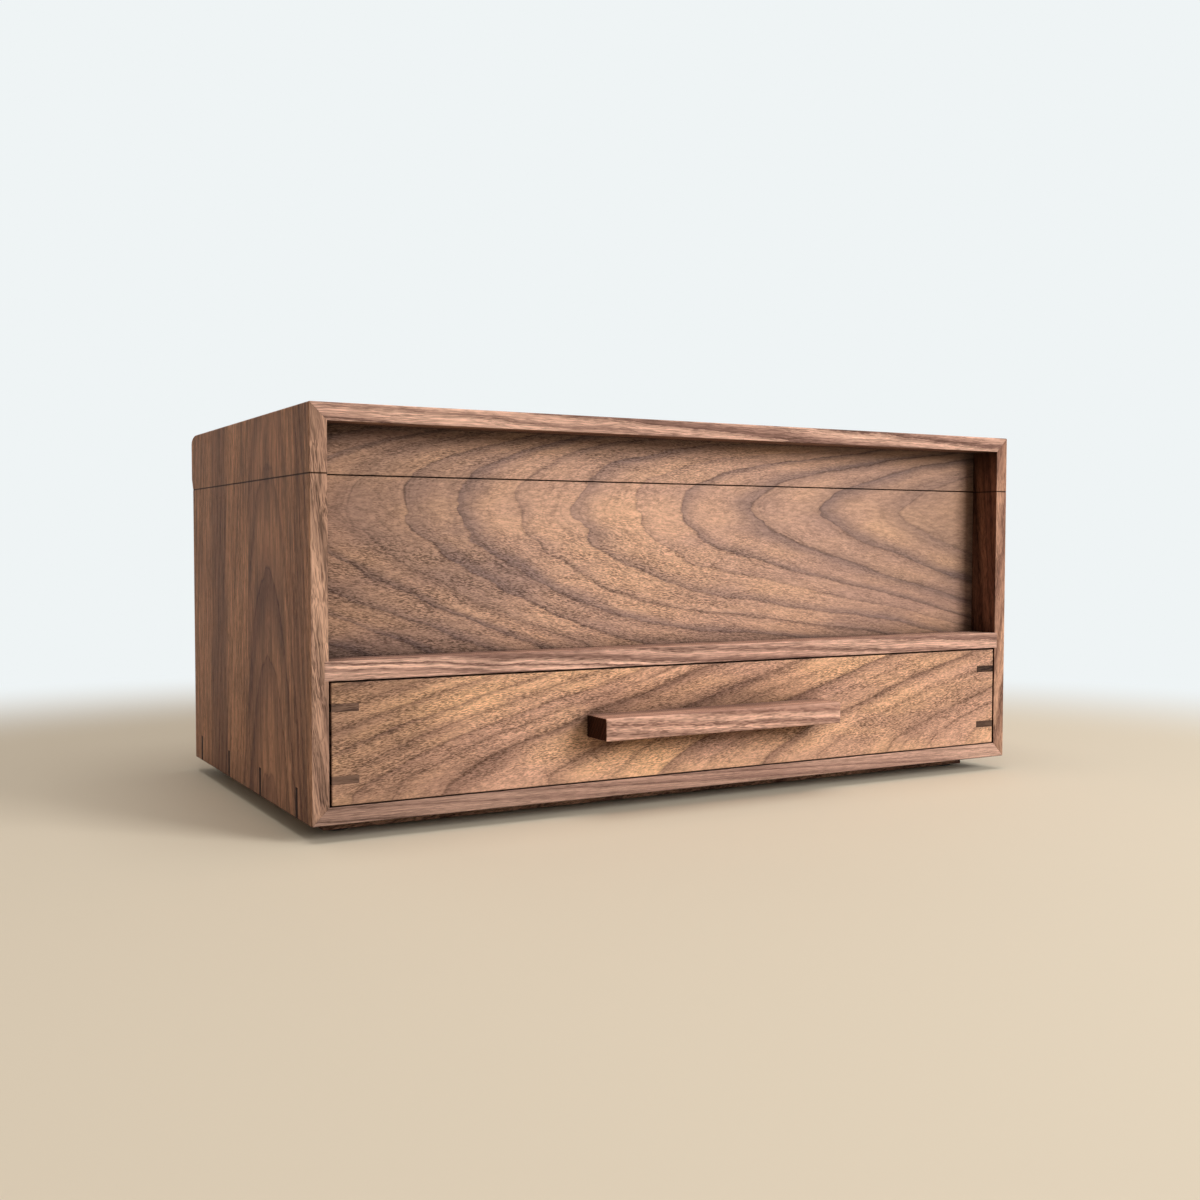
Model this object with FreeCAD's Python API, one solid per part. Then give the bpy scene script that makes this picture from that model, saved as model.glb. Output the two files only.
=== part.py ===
import FreeCAD, Part
import os

# A walnut valet box: a hinged lid over a divided tray, and a keyed drawer under the tray.
# Millimetres. X runs across the box, Y from front to back and Z up. The origin is on the
# table, in the middle of the whole outline, which takes in the handle and the hinges.

# ---- Case boards ----
case_width = 343.0
case_depth = 184.7
side_thickness = 6.6
bottom_thickness = 6.6
back_thickness = 6.6
shelf_thickness = 7.2
drawer_opening_height = 46.1
tray_height = 67.8  # from the shelf up to the lid seam
shelf_housing = 1.5  # depth of the grooves that hold the shelf's ends
panel_housing = 1.5  # depth of the grooves that hold the front panel's ends
back_rebate = 3.0  # depth of the rebates that hold the back's ends
edge_ease = 0.5  # rounding of the outer edges
seam_ease = 0.2  # chamfer on both sides of the lid seam

# ---- Front panel, set back between the sides ----
front_recess = 15.4
panel_thickness = 6.6
panel_seam_gap = 0.5

# ---- Lid ----
lid_height = 25.5
top_thickness = 6.6
lid_back_overhang = 2.4  # the lid's sides and top run past the case's back
lid_taper_height = 5.2  # the overhang tapers in to the case over this height
lid_round_depth = 9.0  # the top back corner is a quarter ellipse
lid_round_height = 4.0

# ---- Keys across the mitred bottom corners ----
case_key_count = 4
case_key_thickness = 2.8
case_key_margin = 1.5  # wood left between a key and the inside corner, along a face
case_key_front_inset = 18.7
case_key_back_inset = 13.7

# ---- Plinth and pads ----
plinth_side_inset = 10.0
plinth_front_inset = 18.3
plinth_back_inset = 18.3
plinth_height = 5.4
plinth_rail_width = 14.0
pad_radius = 5.0
pad_thickness = 1.0

# ---- Hinges ----
hinge_centre_inset = 62.0  # from the case's outside to the middle of a hinge
hinge_length = 30.0
knuckle_radius = 2.0
knuckle_gap = 0.3  # end to end between two knuckles
knuckle_stand_off = 0.3  # between a knuckle and the back of the case
hinge_pin_radius = 1.0
hinge_pin_play = 0.05
pin_head_radius = 1.6
pin_head_thickness = 0.5
leaf_thickness = 1.0
leaf_gap = 0.3  # between the two leaves of a closed hinge
leaf_margin = 1.6  # wood left in front of a leaf's mortise
hinge_screw_spacing = 20.0
hinge_screw_radius = 0.9
hinge_screw_head_radius = 1.7
hinge_screw_length = 7.0
hinge_screw_slot = 0.4  # width and depth of the slot

# ---- Tray fittings ----
lining_thickness = 1.0
lining_play = 0.3
divider_thickness = 5.0
divider_ease = 0.8  # rounding of the top edges
divider_height = 38.0
back_cell_depth = 62.0
side_cell_width = 86.0

# ---- Drawer ----
drawer_front_thickness = 6.0
drawer_side_thickness = 6.0
drawer_back_thickness = 6.0
drawer_side_gap = 0.8
drawer_top_gap = 0.7
drawer_back_gap = 0.3
drawer_front_lift = 0.6  # the front clears the case's bottom board, the sides run on it
drawer_ease = 0.4
drawer_bottom_thickness = 4.0
drawer_bottom_lift = 2.5
drawer_groove_depth = 3.0
drawer_bottom_play = 0.2
drawer_key_thickness = 3.0
drawer_key_margin = 1.5
drawer_key_spacing = 26.5

# ---- Handle ----
handle_length = 116.7
handle_height = 9.1
handle_projection = 15.4
handle_ease = 0.6
handle_screw_spacing = 80.0
handle_screw_radius = 1.75
handle_screw_head_radius = 3.4
handle_screw_reach = 9.0  # how far a screw goes into the handle
handle_screw_slot = 0.8  # width and depth of the slot

# ---- Places that follow from the sizes ----
half_width = case_width / 2
inner_half_width = half_width - side_thickness
knuckle_offset = knuckle_radius + knuckle_stand_off
back_reach = max(knuckle_offset + knuckle_radius, lid_back_overhang)
overall_depth = handle_projection + case_depth + back_reach
front_y = handle_projection - overall_depth / 2
back_y = front_y + case_depth
inner_back_y = back_y - back_thickness
panel_front_y = front_y + front_recess
panel_back_y = panel_front_y + panel_thickness
hinge_axis_y = back_y + knuckle_offset

underside_z = pad_thickness + plinth_height
floor_z = underside_z + bottom_thickness
shelf_underside_z = floor_z + drawer_opening_height
shelf_top_z = shelf_underside_z + shelf_thickness
seam_z = shelf_top_z + tray_height
top_z = seam_z + lid_height
ceiling_z = top_z - top_thickness

drawer_half_width = inner_half_width - drawer_side_gap
drawer_back_y = inner_back_y - drawer_back_gap
drawer_top_z = shelf_underside_z - drawer_top_gap
drawer_front_bottom_z = floor_z + drawer_front_lift
drawer_front_middle_z = (drawer_front_bottom_z + drawer_top_z) / 2
drawer_bottom_z = floor_z + drawer_bottom_lift
drawer_bottom_top_z = drawer_bottom_z + drawer_bottom_thickness

beyond = 1.0  # how far a cutter runs past what it cuts
near = 0.001  # how close an edge must lie to a plane to count as on it


# ---- Basic shapes ----
def block(x_range, y_range, z_range):
    """A box between two values on each axis."""
    size = [high - low for low, high in (x_range, y_range, z_range)]
    corner = FreeCAD.Vector(x_range[0], y_range[0], z_range[0])
    return Part.makeBox(*size, corner)


def bar_along_y(outline, y_range):
    """A bar along Y whose section is an outline of (x, z) points."""
    points = [FreeCAD.Vector(x, y_range[0], z) for x, z in outline]
    face = Part.Face(Part.makePolygon(points + points[:1]))
    return face.extrude(FreeCAD.Vector(0, y_range[1] - y_range[0], 0))


def bar_along_z(outline, z_range):
    """A bar along Z whose section is an outline of (x, y) points."""
    points = [FreeCAD.Vector(x, y, z_range[0]) for x, y in outline]
    face = Part.Face(Part.makePolygon(points + points[:1]))
    return face.extrude(FreeCAD.Vector(0, 0, z_range[1] - z_range[0]))


def rod_along_x(radius, x_range, y, z):
    """A round rod along X."""
    return Part.makeCylinder(
        radius, x_range[1] - x_range[0], FreeCAD.Vector(x_range[0], y, z), FreeCAD.Vector(1, 0, 0)
    )


def mirrored(shape):
    """The shape on the other side of the middle plane."""
    return shape.mirror(FreeCAD.Vector(0, 0, 0), FreeCAD.Vector(1, 0, 0))


def screw(head_middle, direction, head_radius, shank_radius, length, slot):
    """A countersunk wood screw with a slotted head, from its head's face along a direction."""
    cone_height = head_radius - shank_radius
    cone = Part.makeCone(head_radius, shank_radius, cone_height, head_middle, direction)
    shank_start = head_middle + direction * cone_height
    tip_height = 2 * shank_radius
    shank = Part.makeCylinder(
        shank_radius, length - cone_height - tip_height, shank_start, direction
    )
    tip_start = head_middle + direction * (length - tip_height)
    tip = Part.makeCone(shank_radius, shank_radius / 4, tip_height, tip_start, direction)
    groove = block(
        (-head_radius - beyond, head_radius + beyond), (-slot / 2, slot / 2), (-beyond, slot)
    )
    groove.Placement = FreeCAD.Placement(
        head_middle, FreeCAD.Rotation(FreeCAD.Vector(0, 0, 1), direction)
    )
    return cone.fuse([shank, tip]).cut(groove).removeSplitter()


def screw_hole(head_middle, direction, head_radius, shank_radius, length):
    """The countersunk hole that a screw fills, open above its head."""
    cone_height = head_radius - shank_radius
    cone = Part.makeCone(head_radius, shank_radius, cone_height, head_middle, direction)
    shank = Part.makeCylinder(shank_radius, length, head_middle, direction)
    mouth = Part.makeCylinder(head_radius, beyond, head_middle - direction * beyond, direction)
    return cone.fuse([shank, mouth])


# ---- Rounded blanks that the boards are cut from ----
def case_blank():
    """The case's outer form, up to the seam, with its outer edges eased."""
    blank = block((-half_width, half_width), (front_y, back_y), (underside_z, seam_z))
    outer = [edge for edge in blank.Edges if edge.CenterOfMass.z < seam_z - near]
    blank = blank.makeFillet(edge_ease, outer)
    rim = [edge for edge in blank.Edges if edge.CenterOfMass.z > seam_z - near]
    return blank.makeChamfer(seam_ease, rim)


def lid_blank():
    """The lid's outer form: its back corner rounded, its overhang tapered to the case."""
    lid_back_y = back_y + lid_back_overhang
    round_middle = FreeCAD.Vector(
        -half_width, lid_back_y - lid_round_depth, top_z - lid_round_height
    )
    start = FreeCAD.Vector(-half_width, front_y, seam_z)
    front_top = FreeCAD.Vector(-half_width, front_y, top_z)
    round_top = round_middle + FreeCAD.Vector(0, 0, lid_round_height)
    round_back = round_middle + FreeCAD.Vector(0, lid_round_depth, 0)
    taper_top = FreeCAD.Vector(-half_width, lid_back_y, seam_z + lid_taper_height)
    taper_foot = FreeCAD.Vector(-half_width, back_y, seam_z)
    corner = Part.Ellipse(round_back, round_top, round_middle)
    first = corner.parameter(round_back)
    last = corner.parameter(round_top)
    profile = [
        Part.makeLine(start, front_top),
        Part.makeLine(front_top, round_top),
        corner.toShape(first, last),
        Part.makeLine(round_back, taper_top),
        Part.makeLine(taper_top, taper_foot),
        Part.makeLine(taper_foot, start),
    ]
    blank = Part.Face(Part.Wire(profile)).extrude(FreeCAD.Vector(case_width, 0, 0))
    blank = blank.makeFillet(edge_ease, [edge for edge in blank.Edges if is_lid_outer_edge(edge)])
    rim = [edge for edge in blank.Edges if edge.BoundBox.ZMax < seam_z + near]
    return blank.makeChamfer(seam_ease, rim)


def is_lid_outer_edge(edge):
    """Whether an edge of the plain lid blank is on one of its ends or along its top front."""
    middle = edge.CenterOfMass
    on_end = abs(abs(middle.x) - half_width) < near
    top_front = abs(middle.y - front_y) < near and abs(middle.z - top_z) < near
    on_seam = edge.BoundBox.ZMax < seam_z + near
    return (on_end or top_front) and not on_seam


def drawer_blank():
    """The drawer's outer form with its outer edges eased."""
    blank = block(
        (-drawer_half_width, drawer_half_width), (front_y, drawer_back_y), (floor_z, drawer_top_z)
    )
    return blank.makeFillet(drawer_ease, blank.Edges)


# ---- Keys ----
def case_key_places():
    """The Y range of each key along a bottom corner."""
    first = front_y + case_key_front_inset
    last = back_y - case_key_back_inset
    step = (last - first) / (case_key_count - 1)
    middles = [first + step * index for index in range(case_key_count)]
    return [(y - case_key_thickness / 2, y + case_key_thickness / 2) for y in middles]


def case_key_cutters():
    """The kerfs across the left bottom corner: right triangles with equal legs."""
    leg = side_thickness + bottom_thickness - case_key_margin
    outline = [
        (-half_width, underside_z),
        (-half_width + leg, underside_z),
        (-half_width, underside_z + leg),
    ]
    return [bar_along_y(outline, y_range) for y_range in case_key_places()]


def drawer_key_places():
    """The Z range of each key at a corner of the drawer."""
    middles = [drawer_front_middle_z + side * drawer_key_spacing / 2 for side in (-1, 1)]
    return [(z - drawer_key_thickness / 2, z + drawer_key_thickness / 2) for z in middles]


def drawer_key_cutters(y, inward, end_thickness):
    """The kerfs across a left corner of the drawer, at its front or its back."""
    leg = drawer_side_thickness + end_thickness - drawer_key_margin
    outline = [
        (-drawer_half_width, y),
        (-drawer_half_width + leg, y),
        (-drawer_half_width, y + inward * leg),
    ]
    return [bar_along_z(outline, z_range) for z_range in drawer_key_places()]


# ---- Hinges ----
def hinge_places():
    """The middle of each hinge along X, by name."""
    return {
        "left_hinge": -half_width + hinge_centre_inset,
        "right_hinge": half_width - hinge_centre_inset,
    }


def hinge_span(middle_x):
    """A hinge's range along X."""
    return middle_x - hinge_length / 2, middle_x + hinge_length / 2


def knuckle_spans(middle_x):
    """The X ranges of a hinge's three knuckles, with a gap between each pair."""
    start, end = hinge_span(middle_x)
    knuckle = (hinge_length - 2 * knuckle_gap) / 3
    middle_start = start + knuckle + knuckle_gap
    middle_end = end - knuckle - knuckle_gap
    return [(start, start + knuckle), (middle_start, middle_end), (end - knuckle, end)]


def leaf_heights(side):
    """A leaf's Z range: side is -1 for the case's leaf, 1 for the lid's."""
    inner = seam_z + side * leaf_gap / 2
    outer = inner + side * leaf_thickness
    return min(inner, outer), max(inner, outer)


def leaf_mortise(middle_x, side):
    """The space that a leaf takes out of the back, open at the seam and at the back face."""
    low, high = leaf_heights(side)
    y_range = (inner_back_y + leaf_margin, back_y + beyond)
    return block(hinge_span(middle_x), y_range, (min(low, seam_z), max(high, seam_z)))


def hinge_screw_heads(middle_x, side):
    """The middle of each screw head on a leaf's face."""
    y = (inner_back_y + leaf_margin + back_y) / 2
    z = seam_z + side * leaf_gap / 2
    half = hinge_screw_spacing / 2
    return [FreeCAD.Vector(middle_x + offset, y, z) for offset in (-half, half)]


def hinge_screw_holes(middle_x, side):
    """The countersunk holes through a leaf and into the wood behind it."""
    direction = FreeCAD.Vector(0, 0, side)
    return [
        screw_hole(
            head, direction, hinge_screw_head_radius, hinge_screw_radius, hinge_screw_length
        )
        for head in hinge_screw_heads(middle_x, side)
    ]


def hinge_screws(side):
    """The screws of both hinges' leaves on one side of the seam."""
    direction = FreeCAD.Vector(0, 0, side)
    return Part.makeCompound(
        [
            screw(
                head,
                direction,
                hinge_screw_head_radius,
                hinge_screw_radius,
                hinge_screw_length,
                hinge_screw_slot,
            )
            for middle_x in hinge_places().values()
            for head in hinge_screw_heads(middle_x, side)
        ]
    )


def hinge_leaf(middle_x, side, knuckles):
    """A leaf with its own knuckles, bored for the pin and drilled for its screws."""
    low, high = leaf_heights(side)
    leaf = block(hinge_span(middle_x), (inner_back_y + leaf_margin, back_y), (low, high))
    for span in knuckles:
        neck = block(span, (back_y, hinge_axis_y), (low, high))
        leaf = leaf.fuse([neck, rod_along_x(knuckle_radius, span, hinge_axis_y, seam_z)])
    start, end = hinge_span(middle_x)
    bore_span = (start - beyond, end + beyond)
    bore = rod_along_x(hinge_pin_radius + hinge_pin_play, bore_span, hinge_axis_y, seam_z)
    return leaf.cut([bore] + hinge_screw_holes(middle_x, side)).removeSplitter()


def hinge_pin(middle_x):
    """The pin through the three knuckles, headed at both ends."""
    start, end = hinge_span(middle_x)
    pin = rod_along_x(hinge_pin_radius, (start, end), hinge_axis_y, seam_z)
    left_head = rod_along_x(
        pin_head_radius, (start - pin_head_thickness, start), hinge_axis_y, seam_z
    )
    right_head = rod_along_x(
        pin_head_radius, (end, end + pin_head_thickness), hinge_axis_y, seam_z
    )
    return pin.fuse([left_head, right_head]).removeSplitter()


# ---- Case ----
def case_boards():
    """The boards of the case: mitred sides and bottom, shelf, front panel and back."""
    blank = case_blank()
    keys = case_key_cutters()
    side_outline = [
        (-half_width, underside_z),
        (-inner_half_width, floor_z),
        (-inner_half_width, seam_z),
        (-half_width, seam_z),
    ]
    bottom_outline = [
        (-half_width, underside_z),
        (half_width, underside_z),
        (inner_half_width, floor_z),
        (-inner_half_width, floor_z),
    ]
    shelf_half = inner_half_width + shelf_housing
    panel_half = inner_half_width + panel_housing
    back_half = inner_half_width + back_rebate
    shelf = block((-shelf_half, shelf_half), (front_y, inner_back_y), (shelf_underside_z, shelf_top_z))
    panel = block(
        (-panel_half, panel_half),
        (panel_front_y, panel_back_y),
        (shelf_top_z, seam_z),
    )
    back = block((-back_half, back_half), (inner_back_y, back_y), (floor_z, seam_z))
    side = blank.common(bar_along_y(side_outline, (front_y, back_y)))
    left_side = side.cut([shelf, panel, back] + keys)
    bottom = blank.common(bar_along_y(bottom_outline, (front_y, back_y)))
    back_cuts = []
    for middle_x in hinge_places().values():
        back_cuts.append(leaf_mortise(middle_x, -1))
        back_cuts.extend(hinge_screw_holes(middle_x, -1))
    left_keys = Part.makeCompound([key.common(blank) for key in keys])
    return {
        "left_side": left_side,
        "right_side": mirrored(left_side),
        "bottom_board": bottom.cut(keys + [mirrored(key) for key in keys]),
        "shelf_board": shelf,
        "upper_front_panel": panel,
        "back_panel": back.common(blank).cut(back_cuts),
        "left_corner_keys": left_keys,
        "right_corner_keys": mirrored(left_keys),
    }


def plinth():
    """The four rails under the case and the four round pads under their corners."""
    outer_half = half_width - plinth_side_inset
    inner_half = outer_half - plinth_rail_width
    outer_front = front_y + plinth_front_inset
    outer_back = back_y - plinth_back_inset
    inner_front = outer_front + plinth_rail_width
    inner_back = outer_back - plinth_rail_width
    heights = (pad_thickness, underside_z)
    left_rail = block((-outer_half, -inner_half), (inner_front, inner_back), heights)
    pads = [
        Part.makeCylinder(pad_radius, pad_thickness, FreeCAD.Vector(x, y, 0))
        for x in (-(outer_half + inner_half) / 2, (outer_half + inner_half) / 2)
        for y in ((outer_front + inner_front) / 2, (outer_back + inner_back) / 2)
    ]
    return {
        "plinth_front_rail": block((-outer_half, outer_half), (outer_front, inner_front), heights),
        "plinth_back_rail": block((-outer_half, outer_half), (inner_back, outer_back), heights),
        "plinth_left_rail": left_rail,
        "plinth_right_rail": mirrored(left_rail),
        "foot_pads": Part.makeCompound(pads),
    }


def top_edges(bar, direction):
    """The top edges of a plain bar that run along X (0) or along Y (1)."""
    top_z = bar.BoundBox.ZMax
    edges = [edge for edge in bar.Edges if edge.BoundBox.ZMin > top_z - near]
    spans = [(edge.BoundBox.XLength, edge.BoundBox.YLength) for edge in edges]
    return [edge for edge, span in zip(edges, spans) if span[direction] > near]


def tray_fittings():
    """The lining on the shelf and the dividers that stand on it."""
    lining_half = inner_half_width - lining_play
    lining_top_z = shelf_top_z + lining_thickness
    heights = (lining_top_z, lining_top_z + divider_height)
    long_back_y = inner_back_y - back_cell_depth
    long_front_y = long_back_y - divider_thickness
    short_start_x = -inner_half_width + side_cell_width
    long_divider = block(
        (-inner_half_width, inner_half_width), (long_front_y, long_back_y), heights
    )
    short_divider = block(
        (short_start_x, short_start_x + divider_thickness), (panel_back_y, long_front_y), heights
    )
    short_divider = short_divider.makeFillet(divider_ease, top_edges(short_divider, 1))
    return {
        "tray_lining": block(
            (-lining_half, lining_half),
            (panel_back_y + lining_play, inner_back_y - lining_play),
            (shelf_top_z, lining_top_z),
        ),
        "long_divider": long_divider.makeFillet(divider_ease, top_edges(long_divider, 0)),
        "left_short_divider": short_divider,
        "right_short_divider": mirrored(short_divider),
    }


# ---- Lid ----
def lid():
    """The lid's boards: mitred top and sides, front rail and back rail."""
    blank = lid_blank()
    y_range = (front_y, back_y + lid_back_overhang)
    side_outline = [
        (-half_width, seam_z),
        (-inner_half_width, seam_z),
        (-inner_half_width, ceiling_z),
        (-half_width, top_z),
    ]
    top_outline = [
        (-half_width, top_z),
        (-inner_half_width, ceiling_z),
        (inner_half_width, ceiling_z),
        (half_width, top_z),
    ]
    rail_half = inner_half_width + panel_housing
    back_half = inner_half_width + back_rebate
    front_rail_groove = block(
        (-rail_half, rail_half), (panel_front_y, panel_back_y), (seam_z, ceiling_z)
    )
    front_rail = block(
        (-rail_half, rail_half),
        (panel_front_y, panel_back_y),
        (seam_z + panel_seam_gap, ceiling_z),
    )
    back_rail = block((-back_half, back_half), (inner_back_y, back_y), (seam_z, ceiling_z))
    side = blank.common(bar_along_y(side_outline, y_range))
    left_side = side.cut([front_rail_groove, back_rail])
    back_cuts = []
    for middle_x in hinge_places().values():
        back_cuts.append(leaf_mortise(middle_x, 1))
        back_cuts.extend(hinge_screw_holes(middle_x, 1))
    return {
        "lid_top_board": blank.common(bar_along_y(top_outline, y_range)),
        "lid_left_side": left_side,
        "lid_right_side": mirrored(left_side),
        "lid_front_rail": front_rail,
        "lid_back_rail": back_rail.common(blank).cut(back_cuts),
    }


def hinges():
    """Both hinges: a leaf on the case, a leaf on the lid, a pin, and the screws."""
    nodes = {}
    for name, middle_x in hinge_places().items():
        first, middle, last = knuckle_spans(middle_x)
        nodes[name + "_case_leaf"] = hinge_leaf(middle_x, -1, [first, last])
        nodes[name + "_lid_leaf"] = hinge_leaf(middle_x, 1, [middle])
        nodes[name + "_pin"] = hinge_pin(middle_x)
    nodes["case_hinge_screws"] = hinge_screws(-1)
    nodes["lid_hinge_screws"] = hinge_screws(1)
    return nodes


# ---- Drawer ----
def handle_screw_heads():
    """The middle of each handle screw's head, on the inside of the drawer's front."""
    y = front_y + drawer_front_thickness
    half = handle_screw_spacing / 2
    return [FreeCAD.Vector(x, y, drawer_front_middle_z) for x in (-half, half)]


def handle_fixings():
    """The handle's screws, and the holes that they fill in the front and the handle."""
    forward = FreeCAD.Vector(0, -1, 0)
    length = drawer_front_thickness + handle_screw_reach
    screws = []
    holes = []
    for head in handle_screw_heads():
        sizes = (handle_screw_head_radius, handle_screw_radius, length)
        screws.append(screw(head, forward, *sizes, handle_screw_slot))
        holes.append(screw_hole(head, forward, *sizes))
    return screws, holes


def drawer():
    """The drawer: mitred boards with keyed corners, its bottom, lining and handle."""
    blank = drawer_blank()
    heights = (floor_z, drawer_top_z)
    inner_half = drawer_half_width - drawer_side_thickness
    inner_front_y = front_y + drawer_front_thickness
    inner_end_y = drawer_back_y - drawer_back_thickness
    front_outline = [
        (-drawer_half_width, front_y),
        (drawer_half_width, front_y),
        (inner_half, inner_front_y),
        (-inner_half, inner_front_y),
    ]
    back_outline = [
        (-drawer_half_width, drawer_back_y),
        (drawer_half_width, drawer_back_y),
        (inner_half, inner_end_y),
        (-inner_half, inner_end_y),
    ]
    side_outline = [
        (-drawer_half_width, front_y),
        (-inner_half, inner_front_y),
        (-inner_half, inner_end_y),
        (-drawer_half_width, drawer_back_y),
    ]
    bottom_heights = (drawer_bottom_z, drawer_bottom_top_z)
    groove_half = inner_half + drawer_groove_depth
    groove_y = (inner_front_y - drawer_groove_depth, inner_end_y + drawer_groove_depth)
    groove = block((-groove_half, groove_half), groove_y, bottom_heights)
    bottom = block(
        (-groove_half + drawer_bottom_play, groove_half - drawer_bottom_play),
        (groove_y[0] + drawer_bottom_play, groove_y[1] - drawer_bottom_play),
        bottom_heights,
    )
    front_relief = block(
        (-half_width, half_width),
        (front_y - beyond, inner_front_y),
        (floor_z - beyond, drawer_front_bottom_z),
    )
    front_kerfs = drawer_key_cutters(front_y, 1, drawer_front_thickness)
    back_kerfs = drawer_key_cutters(drawer_back_y, -1, drawer_back_thickness)
    front_keys = [key.common(blank) for key in front_kerfs]
    back_keys = [key.common(blank) for key in back_kerfs]
    screws, screw_holes = handle_fixings()
    handle = block(
        (-handle_length / 2, handle_length / 2),
        (front_y - handle_projection, front_y),
        (drawer_front_middle_z - handle_height / 2, drawer_front_middle_z + handle_height / 2),
    )
    handle_edges = [edge for edge in handle.Edges if edge.CenterOfMass.y < front_y - near]
    front = blank.common(bar_along_z(front_outline, heights))
    back = blank.common(bar_along_z(back_outline, heights))
    side = blank.common(bar_along_z(side_outline, heights))
    left_side = side.cut([groove, front_relief] + front_kerfs + back_kerfs)
    front_cuts = front_kerfs + [mirrored(kerf) for kerf in front_kerfs] + screw_holes
    back_cuts = back_kerfs + [mirrored(kerf) for kerf in back_kerfs]
    return {
        "drawer_front": front.cut([groove, front_relief] + front_cuts),
        "drawer_back": back.cut([groove] + back_cuts),
        "drawer_left_side": left_side,
        "drawer_right_side": mirrored(left_side),
        "drawer_bottom": bottom,
        "drawer_front_keys": Part.makeCompound(front_keys + [mirrored(key) for key in front_keys]),
        "drawer_back_keys": Part.makeCompound(back_keys + [mirrored(key) for key in back_keys]),
        "drawer_lining": block(
            (-inner_half + lining_play, inner_half - lining_play),
            (inner_front_y + lining_play, inner_end_y - lining_play),
            (drawer_bottom_top_z, drawer_bottom_top_z + lining_thickness),
        ),
        "drawer_handle": handle.makeFillet(handle_ease, handle_edges).cut(screw_holes),
        "handle_screws": Part.makeCompound(screws),
    }


def build():
    """Write every piece to its own file."""
    os.makedirs("parts", exist_ok=True)
    nodes = {**case_boards(), **plinth(), **tray_fittings(), **lid(), **hinges(), **drawer()}
    for name, shape in nodes.items():
        shape.exportStep("parts/" + name + ".step")
        print(name, len(shape.Solids), "solids", round(shape.Volume, 2), "mm3", shape.isValid())
    print("lid hinge axis at y", round(hinge_axis_y, 3), "z", round(seam_z, 3))


build()
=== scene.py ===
import logging
import math
from dataclasses import dataclass, field, replace
from enum import Enum
from typing import Optional, Union

import bmesh
import bpy
from mathutils import Matrix, Vector, noise


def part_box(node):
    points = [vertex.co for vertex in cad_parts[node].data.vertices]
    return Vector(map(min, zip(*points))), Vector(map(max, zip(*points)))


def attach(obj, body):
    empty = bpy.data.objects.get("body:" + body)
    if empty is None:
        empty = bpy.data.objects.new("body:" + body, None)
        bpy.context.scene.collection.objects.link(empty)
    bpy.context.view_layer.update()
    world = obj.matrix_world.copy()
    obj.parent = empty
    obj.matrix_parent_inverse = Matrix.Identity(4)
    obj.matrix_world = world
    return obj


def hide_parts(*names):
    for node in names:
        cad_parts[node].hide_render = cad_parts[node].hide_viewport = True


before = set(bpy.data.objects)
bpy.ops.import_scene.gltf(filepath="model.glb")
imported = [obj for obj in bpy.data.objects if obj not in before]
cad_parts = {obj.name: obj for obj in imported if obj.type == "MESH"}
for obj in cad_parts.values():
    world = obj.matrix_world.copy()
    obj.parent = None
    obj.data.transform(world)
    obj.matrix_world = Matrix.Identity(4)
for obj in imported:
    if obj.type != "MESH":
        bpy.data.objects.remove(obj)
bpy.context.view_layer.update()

LOG = logging.getLogger("valet_box")
MM = 0.001

Value = Union[bpy.types.NodeSocket, float]
Colour = tuple[float, float, float]


# The display curve that a colour from a chart goes through: straight near black, then a power.
BRIGHTEST = 255
BLACK_END = 0.04045
BLACK_SLOPE = 12.92
CURVE_OFFSET = 0.055
CURVE_POWER = 2.4


# ---------------------------------------------------------------- helpers
def linear(value: int) -> float:
    """Undo the display curve of one channel.

    Args:
        value: The channel from 0 to 255.

    Returns:
        The linear value from 0 to 1.
    """
    share = value / BRIGHTEST
    if share <= BLACK_END:
        return share / BLACK_SLOPE
    return ((share + CURVE_OFFSET) / (1 + CURVE_OFFSET)) ** CURVE_POWER


def chart(red: int, green: int, blue: int) -> Colour:
    """Turn a colour as a paint chart gives it into the shader's linear values.

    Args:
        red: Red from 0 to 255.
        green: Green from 0 to 255.
        blue: Blue from 0 to 255.

    Returns:
        The linear colour.
    """
    return linear(red), linear(green), linear(blue)


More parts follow.
